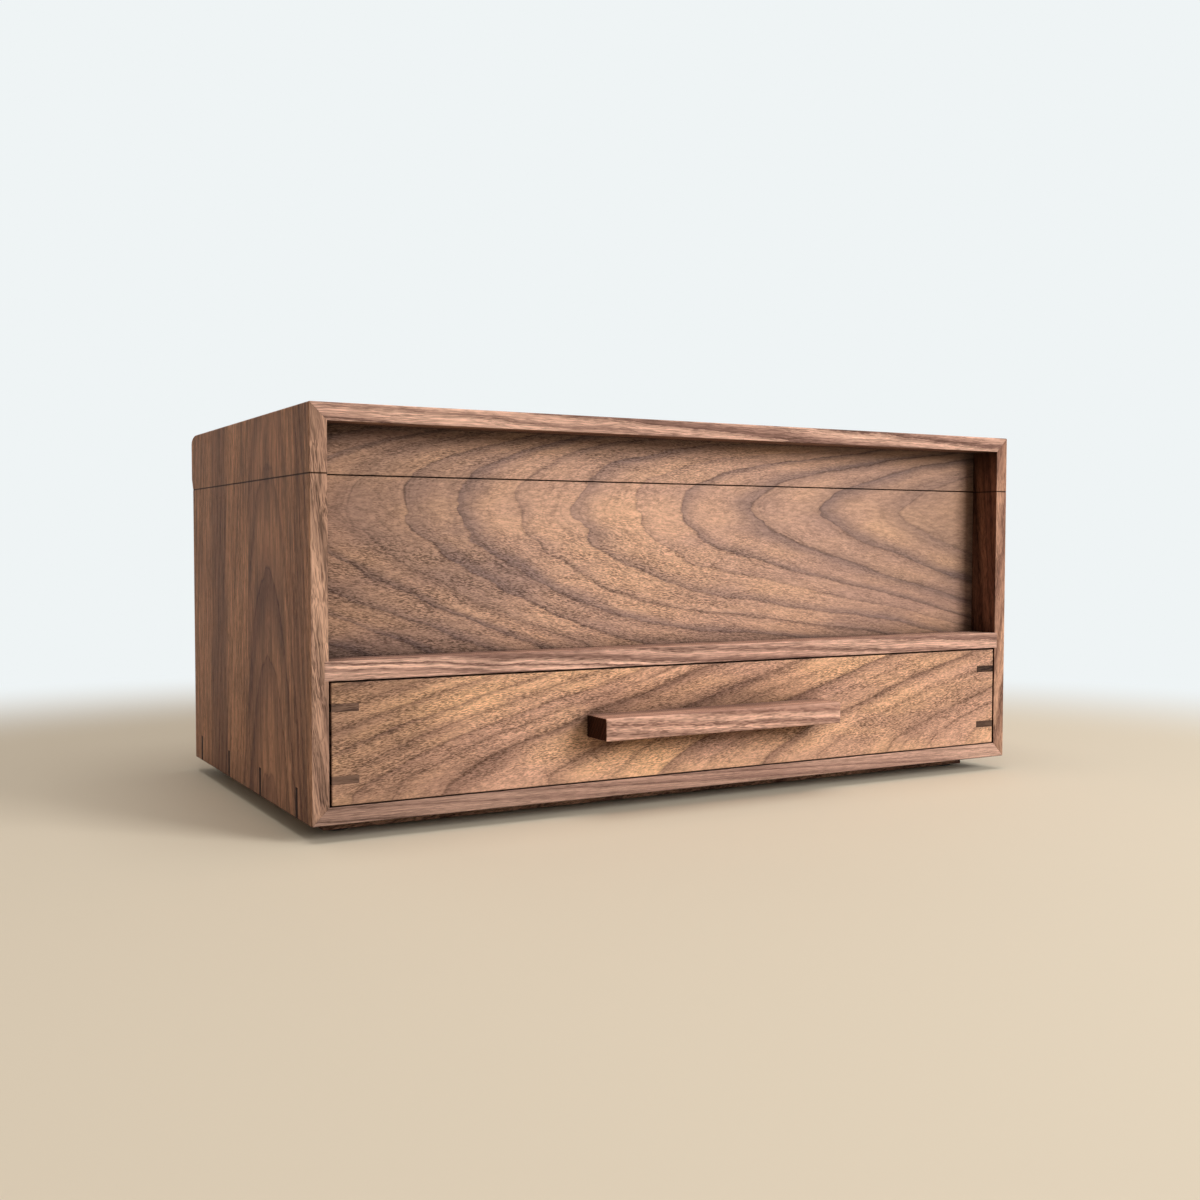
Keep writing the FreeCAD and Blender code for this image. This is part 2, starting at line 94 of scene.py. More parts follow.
class Graph:
    """A material's node tree, with short calls for the nodes that the finishes use."""

    SAMPLES = 6  # the rays of a node that looks round the point
    MIX_INPUTS = (0, 6, 7)  # a Mix node's share and its two colours
    MIX_RESULT = 2  # its blended colour

    def __init__(self, name: str) -> None:
        """Start a material with an empty tree.

        Args:
            name: The material's name.
        """
        self.material = bpy.data.materials.new(name)
        self.material.use_nodes = True
        self.tree = self.material.node_tree
        self.tree.nodes.clear()

    def node(self, kind: str, **settings: object) -> bpy.types.Node:
        """Add a node.

        Args:
            kind: The node's type without its ShaderNode prefix.
            **settings: Properties to set on it.

        Returns:
            The new node.
        """
        made = self.tree.nodes.new("ShaderNode" + kind)
        for key, value in settings.items():
            setattr(made, key, value)
        return made

    def feed(self, socket: bpy.types.NodeSocket, value: object) -> None:
        """Link a socket to another one, or set its own value.

        Args:
            socket: The input.
            value: A socket, a number, a vector or a colour.
        """
        if isinstance(value, bpy.types.NodeSocket):
            self.tree.links.new(value, socket)
        elif socket.type == "RGBA":
            socket.default_value = (*value, 1.0)
        else:
            socket.default_value = value

    def math(self, operation: str, *values: Value, clamp: bool = False) -> bpy.types.NodeSocket:
        """Work out one number from up to three.

        Args:
            operation: The Math node's operation.
            *values: Its inputs.
            clamp: Whether the result is kept from 0 to 1.

        Returns:
            The result.
        """
        made = self.node("Math", operation=operation, use_clamp=clamp)
        for socket, value in zip(made.inputs, values):
            self.feed(socket, value)
        return made.outputs[0]

    def vector(self, operation: str, *values: object) -> bpy.types.NodeSocket:
        """Work out one vector, or a number where the operation gives one.

        Args:
            operation: The Vector Math node's operation.
            *values: Its inputs.

        Returns:
            The result.
        """
        made = self.node("VectorMath", operation=operation)
        for socket, value in zip(made.inputs, values):
            self.feed(socket, value)
        return made.outputs["Value" if operation in ("DOT_PRODUCT", "LENGTH") else "Vector"]

    def combine(self, x: Value, y: Value, z: Value) -> bpy.types.NodeSocket:
        """Join three numbers into a vector.

        Args:
            x: Its first part.
            y: Its second part.
            z: Its third part.

        Returns:
            The vector.
        """
        made = self.node("CombineXYZ")
        for socket, value in zip(made.inputs, (x, y, z)):
            self.feed(socket, value)
        return made.outputs[0]

    def noise(
        self, point: bpy.types.NodeSocket, scale: float = 1.0, detail: float = 2.0, rough: float = 0.5
    ) -> bpy.types.Node:
        """Add smooth noise.

        Args:
            point: Where it is read.
            scale: Its features for each unit of the point.
            detail: How many finer layers it has.
            rough: How strong the finer layers are.

        Returns:
            The node, with its Fac and Color outputs.
        """
        made = self.node("TexNoise")
        self.feed(made.inputs["Vector"], point)
        made.inputs["Scale"].default_value = scale
        made.inputs["Detail"].default_value = detail
        made.inputs["Roughness"].default_value = rough
        return made

    def cells(self, point: bpy.types.NodeSocket, scale: float = 1.0) -> bpy.types.Node:
        """Add scattered cells.

        Args:
            point: Where they are read.
            scale: How many there are for each unit of the point.

        Returns:
            The node, whose Distance output is small at each cell's middle.
        """
        made = self.node("TexVoronoi")
        self.feed(made.inputs["Vector"], point)
        made.inputs["Scale"].default_value = scale
        return made

    def chance(self, number: Value) -> bpy.types.NodeSocket:
        """Give a fixed random number for a number.

        Args:
            number: The number.

        Returns:
            The random number, from 0 to 1.
        """
        made = self.node("TexWhiteNoise", noise_dimensions="1D")
        self.feed(made.inputs["W"], number)
        return made.outputs["Value"]

    def slope(
        self, value: Value, start: float, end: float, low: float = 0.0, high: float = 1.0
    ) -> bpy.types.NodeSocket:
        """Ease from one value to another as a number goes from start to end.

        Args:
            value: The number.
            start: Where the change starts.
            end: Where it ends; below start, the change runs backwards.
            low: The result at start.
            high: The result at end.

        Returns:
            The eased value.
        """
        made = self.node("MapRange", interpolation_type="SMOOTHSTEP")
        if end < start:
            start, end, low, high = end, start, high, low
        for socket, setting in zip(made.inputs, (value, start, end, low, high)):
            self.feed(socket, setting)
        return made.outputs[0]

    def curve(self, value: Value, ends: list[tuple[float, float]]) -> bpy.types.NodeSocket:
        """Follow a curve laid through points.

        Args:
            value: Where it is read, from 0 to 1.
            ends: The points, the first at 0 and the last at 1.

        Returns:
            The curve's height there.
        """
        made = self.node("FloatCurve")
        points = made.mapping.curves[0].points
        for _ in ends[1:-1]:
            points.new(0.5, 0.5)
        for point, place in zip(points, ends):
            point.location = place
            point.handle_type = "AUTO_CLAMPED"
        made.mapping.update()
        self.feed(made.inputs["Value"], value)
        return made.outputs[0]

    def mix(
        self, share: Value, first: object, second: object, mode: str = "MIX"
    ) -> bpy.types.NodeSocket:
        """Blend two colours.

        Args:
            share: How much of the second one.
            first: A colour or its socket.
            second: A colour or its socket.
            mode: The blend type.

        Returns:
            The blended colour.
        """
        made = self.node("Mix", data_type="RGBA", blend_type=mode)
        for number, value in zip(self.MIX_INPUTS, (share, first, second)):
            self.feed(made.inputs[number], value)
        return made.outputs[self.MIX_RESULT]

    def finish(
        self,
        surface: bpy.types.Node,
        height: Optional[Value] = None,
        depth: float = 0.0,
        round_off: float = 0.0,
    ) -> bpy.types.Material:
        """Join the shader to the output, with bump and softly rounded edges.

        Args:
            surface: The shader.
            height: The bump's height, from 0 to 1.
            depth: How deep the bump is, in metres.
            round_off: The radius that edges seem to have, in metres.

        Returns:
            The material.
        """
        normal = None
        if round_off:
            edge = self.node("Bevel", samples=self.SAMPLES)
            edge.inputs["Radius"].default_value = round_off
            normal = edge.outputs[0]
        if height is not None:
            bump = self.node("Bump")
            bump.inputs["Distance"].default_value = depth
            self.feed(bump.inputs["Height"], height)
            if normal is not None:
                self.feed(bump.inputs["Normal"], normal)
            normal = bump.outputs[0]
        if normal is not None:
            self.feed(surface.inputs["Normal"], normal)
        output = self.node("OutputMaterial")
        self.tree.links.new(surface.outputs[0], output.inputs[0])
        return self.material


# ---------------------------------------------------------------- finishes
class Lie(Enum):
    """How a board lies in its tree: the row axes of its grain, its width and its thickness."""

    ALONG = ((1, 0, 0), (0, 0, 1), (0, 1, 0))
    ALONG_FLAT = ((1, 0, 0), (0, 1, 0), (0, 0, 1))
    UPRIGHT = ((0, 0, -1), (0, 1, 0), (1, 0, 0))
    DEEP = ((0, 1, 0), (0, 0, 1), (1, 0, 0))
    DEEP_FLAT = ((0, 1, 0), (1, 0, 0), (0, 0, 1))


class Draw(Enum):
    """What is drawn at random for a ring, and the number that keeps that draw apart."""

    AFTER = 11.1
    BEFORE = 23.7
    LINE = 3.3
    FADE = 57.3
    HUE = 77.9


@dataclass(frozen=True)
class Ring:
    """One growth ring of a board whose figure is laid ring by ring.

    Attributes:
        tip: Where the tip of its arch falls along the grain, in millimetres.
        line: How strong the thin line at its start is, from 0 to 1.
        after: How dark the wood is just after that line.
        before: How dark the wood becomes before the next line.
    """

    tip: float
    line: float
    after: float
    before: float


@dataclass(frozen=True)
class Closing:
    """A change along a board's grain to narrower and more pointed arches.

    Attributes:
        start: Where it starts, in millimetres.
        end: Where it ends.
        share: How many times longer the arches are for their width.
        point: How pointed their tips are, in millimetres.
    """

    start: float
    end: float
    share: float
    point: float

    def moved(self, along: float) -> "Closing":
        """Give the same change, moved along the grain."""
        return replace(self, start=self.start + along, end=self.end + along)


@dataclass(frozen=True)
class Figure:
    """Growth rings as cones round the tree's middle, in millimetres in the board's own axes.

    Attributes:
        pith_width: Where the tree's middle lies along the board's width.
        pith_depth: Where it lies along the board's thickness.
        face_depth: Where the board's face lies along its thickness.
        taper: How much the rings open along the grain; 0.3 gives blunt arches, 0.1 long ones.
        run: Where an even run of rings starts along the grain, and how long each ring is.
        rings: The rings one by one, for a board that isn't an even run.
        wave: How far the rings wander.
        kink: How far each ring wanders by itself.
        lean: How much faster the rings open on the side above the tree's middle.
        shoulder: How far the arches stay blunt on that side.
        closing: The change along the grain to narrower and more pointed arches, if there is one.
        seed: Which part of the noise the board shows.
    """

    pith_width: float
    pith_depth: float
    face_depth: float
    taper: float
    run: tuple[float, float] = (0.0, 40.0)
    rings: tuple[Ring, ...] = ()
    wave: float = 2.0
    kink: float = 3.0
    lean: float = 0.0
    shoulder: float = 0.0
    closing: Optional[Closing] = None
    seed: float = 0.0

    @property
    def reach(self) -> float:
        """How far the board's face is from the tree's middle."""
        return abs(self.face_depth - self.pith_depth)

    @property
    def spacing(self) -> float:
        """The rings' mean length along the grain.

        Returns:
            The length, in millimetres.
        """
        if not self.rings:
            return self.run[1]
        return (self.rings[-1].tip - self.rings[0].tip) / (len(self.rings) - 1)

    def moved(self, along: float, across: float, depth: float) -> "Figure":
        """Move the figure.

        Args:
            along: How far along the grain.
            across: How far along the board's width.
            depth: How far along its thickness.

        Returns:
            The moved figure.
        """
        return replace(
            self,
            pith_width=self.pith_width + across,
            pith_depth=self.pith_depth + depth,
            face_depth=self.face_depth + depth,
            run=(self.run[0] + along, self.run[1]),
            rings=tuple(replace(ring, tip=ring.tip + along) for ring in self.rings),
            closing=self.closing and self.closing.moved(along),
        )


@dataclass(frozen=True)
class Tone:
    """The colours of one board.

    Attributes:
        light: The clear wood.
        middle: The duller colour of some patches and rings.
        dark: The wood beside a ring's line, in its shade.
        line: The thin line at a ring's start.
        pore: The open pores.
    """

    light: Colour
    middle: Colour
    dark: Colour
    line: Colour
    pore: Colour


@dataclass(frozen=True)
class Bend:
    """One size of the bends that a board's rings make as they wander, in millimetres.

    Attributes:
        length: A bend's length along the grain.
        width: A bend's width across the board.
        reach: How far it shifts the rings.
        follows_wave: Whether the reach is a share of the figure's own wave.
    """

    length: float
    width: float
    reach: float
    follows_wave: bool = True


@dataclass(frozen=True)
class Walnut:
    """Oiled walnut: growth rings, streaks and pores that follow the fibres.

    Attributes:
        name: The finish's name.
        lie: How the board lies in its tree.
        measured_from: The solid whose lowest corner its figure and all its places are measured from.
        figure: Its growth rings.
        tone: Its colours.
        drift: The change of tone along its grain: where, in millimetres, and how bright.
        calm: How strong the dashes and pores are along its grain: where, and how strong.
        bands: Broad tones across the width: where, in millimetres, and how dark, from -1 to 1.
        streaks: How strong the long streaks are.
        streak_width: How wide the long streaks are, in millimetres.
        flecks: How strong the dense short dashes are.
        pores: How strong the open pores are.
        hairlines: How strong the faint lines between the rings are.
        cut: Where the seam's saw cut crosses the grain, in millimetres; the wood beside it gets painted
            shade, the shade that falls into the gap between lid and case.
        painted_face_shade: The way that one of the board's faces looks, and the colour that multiplies that
            face: painted shade where the face turns from the lamps, and on the left side a cooler, darker
            hue on the lit front face.
        stroke: How many times longer than usual the dashes and pores are.
        follow: The share of the rings' taper that the fibres follow.
        painted_shade_reach: How far from an inner corner the painted shade reaches, in metres; 0 paints
            none.
    """

    name: str
    lie: Lie
    measured_from: str
    figure: Figure
    tone: Tone
    drift: tuple[tuple[float, float], ...] = ()
    calm: tuple[tuple[float, float], ...] = ()
    bands: tuple[tuple[float, float], ...] = ()
    streaks: float = 0.18
    streak_width: float = 1.1
    flecks: float = 0.5
    pores: float = 0.8
    hairlines: float = 0.26
    cut: Optional[float] = None
    painted_face_shade: Optional[tuple[Colour, Colour]] = None
    stroke: float = 1.0
    follow: float = 0.75
    painted_shade_reach: float = 18 * MM

    # Sizes are in millimetres along and across the fibres. A ramp's numbers are where it
    # starts and ends and, where they aren't 0 and 1, its values there.
    BENDS = (Bend(70.0, 26.0, 1.0), Bend(14.0, 7.0, 0.3))
    TREMBLE = (Bend(2.5, 1.0, 0.22, False),)  # makes the rings' lines ragged
    SHIFT_ACROSS = 4.0  # a bend's shift across and along, for each millimetre of its reach
    SHIFT_ALONG = 3.0
    LEAN_START = 8.0  # how far above the tree's middle the rings start to open faster
    KINK_SIZE = (0.15, 9.0)  # a kink's share of the rings' taper, and its width
    RUN_SWELL = (0.45, 2.2)  # how often an even run's rings swell, and by how many rings
    FADING = (1.0, 0.0)  # how the shade after a line fades, and how the one before the next grows
    GROWING = (0.45, 1.0)
    FADE_SPAN = (0.35, 1.1)  # least and most of a ring that its start's shade fades over
    EVEN_AFTER = (0.3, 1.1)  # least and most darkness after a line, in an even run
    EVEN_BEFORE = (0.0, 0.6)
    EVEN_LINE = (0.4, 1.0)
    LINE_EDGE = (1.3, 0.1)
    LINE_BREAKS = (0.32, 0.62, 0.3, 1.1)
    HAIRLINE_EDGE = (0.035, 0.0)
    HAIRLINES_EACH = 3.1  # how often hairlines come in a ring
    FLANK = (0.1, 0.65, 0.4, 1.0)  # dashes and pores are weaker at the arches' tips
    STREAK_LENGTH = 60.0
    STREAK_RAMP = (0.3, 0.7)
    DASH_SIZE = (3.6, 0.42)
    DASH_RAMP = (0.44, 0.60)
    TUFT_SIZE = (26.0, 6.0)  # patches of stronger and weaker dashes
    TUFT_RAMP = (0.35, 0.65, 0.55, 1.15)
    PORE_SIZE = (5.5, 0.66)
    PORE_RAMP = (0.34, 0.2)
    SMALL_PORE_SIZE = (2.8, 0.46)
    SMALL_PORE_RAMP = (0.34, 0.18)
    SMALL_PORE_SHARE = 0.7
    PORE_BEND_SIZE = (5.0, 3.0)
    PORE_BEND_REACH = 0.8
    PORE_PATCH_SIZE = (18.0, 5.0)
    PORE_PATCH_RAMP = (0.3, 0.7, 0.4, 0.85)
    CLOUD_SIZE = (60.0, 18.0)  # patches of the warmer and the duller colour
    CLOUD_RAMP = (0.35, 0.65, 0.0, 0.55)
    HUE_SHARE = 0.45  # how far a whole ring may be duller than the next
    GLOOM_SIZE = (90.0, 30.0)  # broad darker patches
    GLOOM_RAMP = (0.5, 0.75, 0.0, 0.5)
    FACING_RAMP = (0.6, 0.95)
    # painted shade in inner corners: from how open the point is to how bright the wood stays
    CORNER_SHADE_RAMP = (0.25, 0.95, 0.24, 1.0)
    # painted shade beside the seam: from the distance to the cut, in millimetres, to how bright the wood
    # stays
    SEAM_SHADE_RAMP = (0.2, 0.45, 0.3, 1.0)
    ROUGH = 0.58  # the oiled wood between the pores
    ROUGHER_STREAKS = 0.10  # what a streak and a pore add to the roughness
    ROUGHER_PORES = 0.25
    STREAK_RELIEF = 0.25  # how far a streak stands up, and a dash and a pore lie deeper
    DASH_RELIEF = -0.3
    PORE_RELIEF = -0.7
    LINE_APART = 3.7  # how different the breaks of neighbouring lines are
    LINE_PIECES = 4.0  # how often a line may break round its arch
    PORES_IN_SHADE = 0.4  # how many more pores there are in a ring's dark part and on its line
    PORES_ON_LINE = 0.5
    FLECK_LIFT = 0.25  # how much lighter the wood between the dashes is
    SPECULAR = 0.07  # an oiled, unvarnished board
    END_GRAIN = (0.34, 0.27, 0.24)  # how much light a face cut across the fibres sends back
    EDGE_ROUND = 0.55 * MM
    BUMP_DEPTH = 0.10 * MM
    THINNING = -0.35  # how the dashes and pores become thinner as they become longer

    def material(self) -> bpy.types.Material:
        """Build the finish.

        Returns:
            The material.
        """
        return self.placed().built()

    def placed(self) -> "Walnut":
        """Give the finish with every measure taken from the frame's origin.

        Returns:
            The same finish, moved by its board's lowest corner.
        """
        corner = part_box(self.measured_from)[0] / MM
        along, across, depth = (corner.dot(Vector(axis)) for axis in self.lie.value)
        drift = tuple((place + along, bright) for place, bright in self.drift)
        calm = tuple((place + along, strong) for place, strong in self.calm)
        bands = tuple((place + across, dark) for place, dark in self.bands)
        cut = None if self.cut is None else self.cut + along
        figure = self.figure.moved(along, across, depth)
        return replace(self, figure=figure, drift=drift, calm=calm, bands=bands, cut=cut)

    def built(self) -> bpy.types.Material:
        """Lay out the nodes of a finish that is already placed.

        Returns:
            The material.
        """
        graph = Graph(self.name)
        figure = self.figure
        along, across, depth = self.wander(graph, *self.board_point(graph), self.BENDS)
        offset_across = self.lean(graph, graph.math("SUBTRACT", across, figure.pith_width))
        offset_depth = graph.math("SUBTRACT", depth, figure.pith_depth)
        radius = self.hypotenuse(graph, offset_across, offset_depth)
        side = graph.math("DIVIDE", offset_across, radius)
        angle = graph.math("ARCTAN2", offset_across, offset_depth)
        climb = graph.math("MULTIPLY_ADD", along, -figure.taper * self.follow, radius)
        fibre = graph.combine(along, climb, graph.math("MULTIPLY", angle, radius))
        ragged = self.wander(graph, along, across, depth, self.TREMBLE)
        ragged_offset = self.lean(graph, graph.math("SUBTRACT", ragged[1], figure.pith_width))
        count = self.ring_count(graph, ragged, ragged_offset, offset_depth)
        shade, line, hue = self.rings(graph, count, side)
        drawn = self.stretch(graph, fibre, self.STREAK_LENGTH, self.streak_width)
        streak = graph.noise(drawn, detail=4.0, rough=0.6).outputs["Fac"]
        flank = graph.slope(graph.math("ABSOLUTE", side), *self.FLANK)
        if self.calm:
            flank = graph.math("MULTIPLY", flank, self.laid(graph, along, self.calm))
        tuft = graph.noise(self.stretch(graph, fibre, *self.TUFT_SIZE), detail=1.0).outputs["Fac"]
        strength = graph.math("MULTIPLY", flank, graph.slope(tuft, *self.TUFT_RAMP))
        dash = graph.math("MULTIPLY", self.dashes(graph, fibre), strength)
        pore = graph.math("MULTIPLY", self.open_pores(graph, fibre, shade, line), flank)
        place = graph.combine(along, across, depth)
        if self.bands:
            shade = graph.math("ADD", shade, self.laid(graph, across, self.bands), clamp=True)
        colour = self.colour(graph, place, (shade, line, hue), streak, dash, pore)
        surface = graph.node("BsdfPrincipled")
        surface.inputs["Specular IOR Level"].default_value = self.SPECULAR
        # end_grain also paints shade on the one face that the finish names
        colour = self.drifted(graph, along, self.end_grain(graph, colour))
        # painted shade in inner corners and beside the seam
        colour = self.paint_corner_shade(graph, self.paint_seam_shade(graph, colour))
        graph.feed(surface.inputs["Base Color"], colour)
        smooth = self.ROUGH - self.ROUGHER_STREAKS / 2
        rough = graph.math("MULTIPLY_ADD", streak, self.ROUGHER_STREAKS, smooth)
        rough = graph.math("MULTIPLY_ADD", pore, self.ROUGHER_PORES, rough, clamp=True)
        graph.feed(surface.inputs["Roughness"], rough)
        relief = graph.math("MULTIPLY", streak, self.STREAK_RELIEF)
        relief = graph.math("MULTIPLY_ADD", dash, self.DASH_RELIEF, relief)
        relief = graph.math("MULTIPLY_ADD", pore, self.PORE_RELIEF, relief)
        return graph.finish(surface, relief, self.BUMP_DEPTH, self.EDGE_ROUND)

    def board_point(self, graph: Graph) -> list[bpy.types.NodeSocket]:
        """Read the point in the board's own axes.

        Args:
            graph: The material's nodes.

        Returns:
            The point along the board's grain, width and thickness, in millimetres.
        """
        place = graph.node("TexCoord").outputs["Object"]
        point = graph.vector("SCALE", place)
        point.node.inputs["Scale"].default_value = 1 / MM
        return [graph.vector("DOT_PRODUCT", point, axis) for axis in self.lie.value]

    def wander(
        self, graph: Graph, along: Value, across: Value, depth: Value, bends: tuple[Bend, ...]
    ) -> tuple[Value, Value, Value]:
        """Shift the point a little, so that the rings wander as they do in a real tree.

        Args:
            graph: The material's nodes.
            along: The point along the grain.
            across: The point along the width.
            depth: The point along the thickness.
            bends: The bends to add.

        Returns:
            The shifted point.
        """
        seed = self.figure.seed
        for bend in bends:
            point = graph.combine(
                graph.math("MULTIPLY_ADD", along, 1 / bend.length, seed),
                graph.math("MULTIPLY_ADD", across, 1 / bend.width, seed),
                graph.math("MULTIPLY", depth, 1 / bend.width),
            )
            shift = graph.noise(point, detail=1.0)
            offset = graph.math("SUBTRACT", shift.outputs["Fac"], 0.5)
            reach = bend.reach * (self.figure.wave if bend.follows_wave else 1.0)
            across = graph.math("MULTIPLY_ADD", offset, self.SHIFT_ACROSS * reach, across)
            along = graph.math("MULTIPLY_ADD", offset, self.SHIFT_ALONG * reach, along)
        return along, across, depth

    def lean(self, graph: Graph, offset: Value) -> Value:
        """Shape the side of the arches above the tree's middle, where the figure asks for it.

        Args:
            graph: The material's nodes.
            offset: How far the point is from the tree's middle along the width.

        Returns:
            The offset that the rings are counted with.
        """
        blunt = self.figure.shoulder
        if blunt:
            below = graph.math("SUBTRACT", graph.math("MINIMUM", offset, 0.0), blunt)
            above = graph.math("MAXIMUM", offset, 0.0)
            return graph.math("ADD", self.hypotenuse(graph, above, blunt), below)
        if not self.figure.lean:
            return offset
        above = graph.math("MAXIMUM", graph.math("SUBTRACT", offset, self.LEAN_START), 0.0)
        more = graph.math("MULTIPLY", graph.math("MULTIPLY", above, above), self.figure.lean)
        return graph.math("ADD", offset, more)

    @staticmethod
    def hypotenuse(graph: Graph, first: Value, second: Value) -> bpy.types.NodeSocket:
        """Give the length of the side across from the right angle."""
        square = graph.math("MULTIPLY", second, second)
        return graph.math("SQRT", graph.math("MULTIPLY_ADD", first, first, square))

    def ring_count(
        self, graph: Graph, point: tuple[Value, Value, Value], offset: Value, below: Value
    ) -> bpy.types.NodeSocket:
        """Count the rings up to a point, evenly or by the figure's own marks.

        Args:
            graph: The material's nodes.
            point: The point along the grain, width and thickness.
            offset: How far it is from the tree's middle along the width.
            below: How far it is from there along the thickness.

        Returns:
            The ring's number, with its share up to the next one.
        """
        figure = self.figure
        along, across, depth = point
        closing = figure.closing
        if closing:
            point = graph.slope(along, closing.start, closing.end, 0.0, closing.point)
            radius = self.hypotenuse(graph, graph.math("ADD", graph.math("ABSOLUTE", offset), point), below)
            opened = graph.math("SUBTRACT", radius, self.hypotenuse(graph, point, figure.reach))
            share = graph.slope(along, closing.start, closing.end, 1.0, closing.share)
            opened = graph.math("MULTIPLY", opened, share)
        else:
            opened = graph.math("SUBTRACT", self.hypotenuse(graph, offset, below), figure.reach)
        tip = graph.math("MULTIPLY_ADD", opened, -1 / figure.taper, along)
        tapered, width = self.KINK_SIZE
        spot = graph.combine(
            graph.math("MULTIPLY", tip, tapered * figure.taper),
            graph.math("MULTIPLY", across, 1 / width),
            graph.math("MULTIPLY", depth, 1 / width),
        )
        kink = graph.math("SUBTRACT", graph.noise(spot, detail=2.0).outputs["Fac"], 0.5)
        tip = graph.math("MULTIPLY_ADD", kink, figure.kink / figure.taper, tip)
        if not figure.rings:
            even = graph.math("DIVIDE", graph.math("SUBTRACT", tip, figure.run[0]), figure.run[1])
            often, reach = self.RUN_SWELL
            swell = graph.noise(graph.combine(even, figure.seed, 0.0), often, detail=1.0)
            return graph.math("MULTIPLY_ADD", swell.outputs["Fac"], reach, even)
        first, last = figure.rings[0].tip, figure.rings[-1].tip
        steps = len(figure.rings) - 1
        place = graph.math("DIVIDE", graph.math("SUBTRACT", tip, first), last - first)
        ends = [
            ((ring.tip - first) / (last - first), number / steps)
            for number, ring in enumerate(figure.rings)
        ]
        return graph.math("MULTIPLY", graph.curve(place, ends), float(steps))

    def rings(
        self, graph: Graph, count: Value, side: Value
    ) -> tuple[bpy.types.NodeSocket, bpy.types.NodeSocket, bpy.types.NodeSocket]:
        """Shade the growth rings.

        Args:
            graph: The material's nodes.
            count: The ring's number, with its share up to the next one.
            side: The share of the radius that lies in the board's width.

        Returns:
            How dark the ring is here, how much of a thin dark line is here, and the ring's hue.
        """
        figure = self.figure
        number = graph.math("FLOOR", count)
        share = graph.math("SUBTRACT", count, number)
        nearest = graph.math("ROUND", count)

        def chance(ring: Value, draw: Draw, low: float, high: float) -> bpy.types.NodeSocket:
            """Draw a fixed random value for a ring."""
            drawn = graph.chance(graph.math("ADD", ring, figure.seed + draw.value))
            return graph.math("MULTIPLY_ADD", drawn, high - low, low)

        def laid(ring: Value, values: list[float]) -> bpy.types.NodeSocket:
            """Read the value that a ring was laid with.

            Args:
                ring: The ring's number.
                values: The value of each ring, from the first to the last.

            Returns:
                The ring's value.
            """
            steps = len(values) - 1
            ends = [(number / steps, value) for number, value in enumerate(values)]
            return graph.curve(graph.math("DIVIDE", ring, float(steps)), ends)

        if figure.rings:
            after = laid(number, [ring.after for ring in figure.rings])
            before = laid(number, [ring.before for ring in figure.rings])
            strength = laid(nearest, [ring.line for ring in figure.rings])
        else:
            after = chance(number, Draw.AFTER, *self.EVEN_AFTER)
            before = chance(number, Draw.BEFORE, *self.EVEN_BEFORE)
            strength = chance(nearest, Draw.LINE, *self.EVEN_LINE)
        span = chance(number, Draw.FADE, *self.FADE_SPAN)
        fading = graph.slope(graph.math("DIVIDE", share, span), *self.FADING)
        growing = graph.slope(share, *self.GROWING)
        shade = graph.math("MULTIPLY_ADD", fading, after, graph.math("MULTIPLY", growing, before))
        steep = self.hypotenuse(graph, side, figure.taper)
        gap = graph.math("PINGPONG", count, 0.5)
        distance = graph.math("DIVIDE", graph.math("MULTIPLY", gap, figure.spacing * figure.taper), steep)
        line = graph.math("MULTIPLY", graph.slope(distance, *self.LINE_EDGE), strength)
        apart = graph.math("MULTIPLY", number, self.LINE_APART)
        spot = graph.combine(apart, graph.math("MULTIPLY", side, self.LINE_PIECES), figure.seed)
        broken = graph.noise(spot, detail=2.0).outputs["Fac"]
        line = graph.math("MULTIPLY", line, graph.slope(broken, *self.LINE_BREAKS))
        band = graph.combine(count, figure.seed, 0.0)
        faint = graph.noise(band, self.HAIRLINES_EACH, detail=1.0).outputs["Fac"]
        crossing = graph.math("ABSOLUTE", graph.math("SUBTRACT", faint, 0.5))
        hairline = graph.slope(crossing, *self.HAIRLINE_EDGE, 0.0, self.hairlines)
        line = graph.math("MAXIMUM", line, hairline)
        return shade, line, chance(number, Draw.HUE, 0.0, 1.0)

    @staticmethod
    def stretch(graph: Graph, fibre: Value, length: float, width: float) -> bpy.types.NodeSocket:
        """Scale a point so that noise gets that length along the fibres and that width."""
        return graph.vector("MULTIPLY", fibre, (1 / length, 1 / width, 1 / width))

    def drawn_out(self, graph: Graph, fibre: Value, length: float, width: float) -> bpy.types.NodeSocket:
        """Scale a point for dashes or pores of that size, drawn out by the board's own stroke."""
        return self.stretch(graph, fibre, length * self.stroke, width * self.stroke ** self.THINNING)

    def dashes(self, graph: Graph, fibre: Value) -> bpy.types.NodeSocket:
        """Draw the dense short dashes that walnut's smallest pores make."""
        fine = graph.noise(self.drawn_out(graph, fibre, *self.DASH_SIZE), detail=1.0)
        return graph.slope(fine.outputs["Fac"], *self.DASH_RAMP)

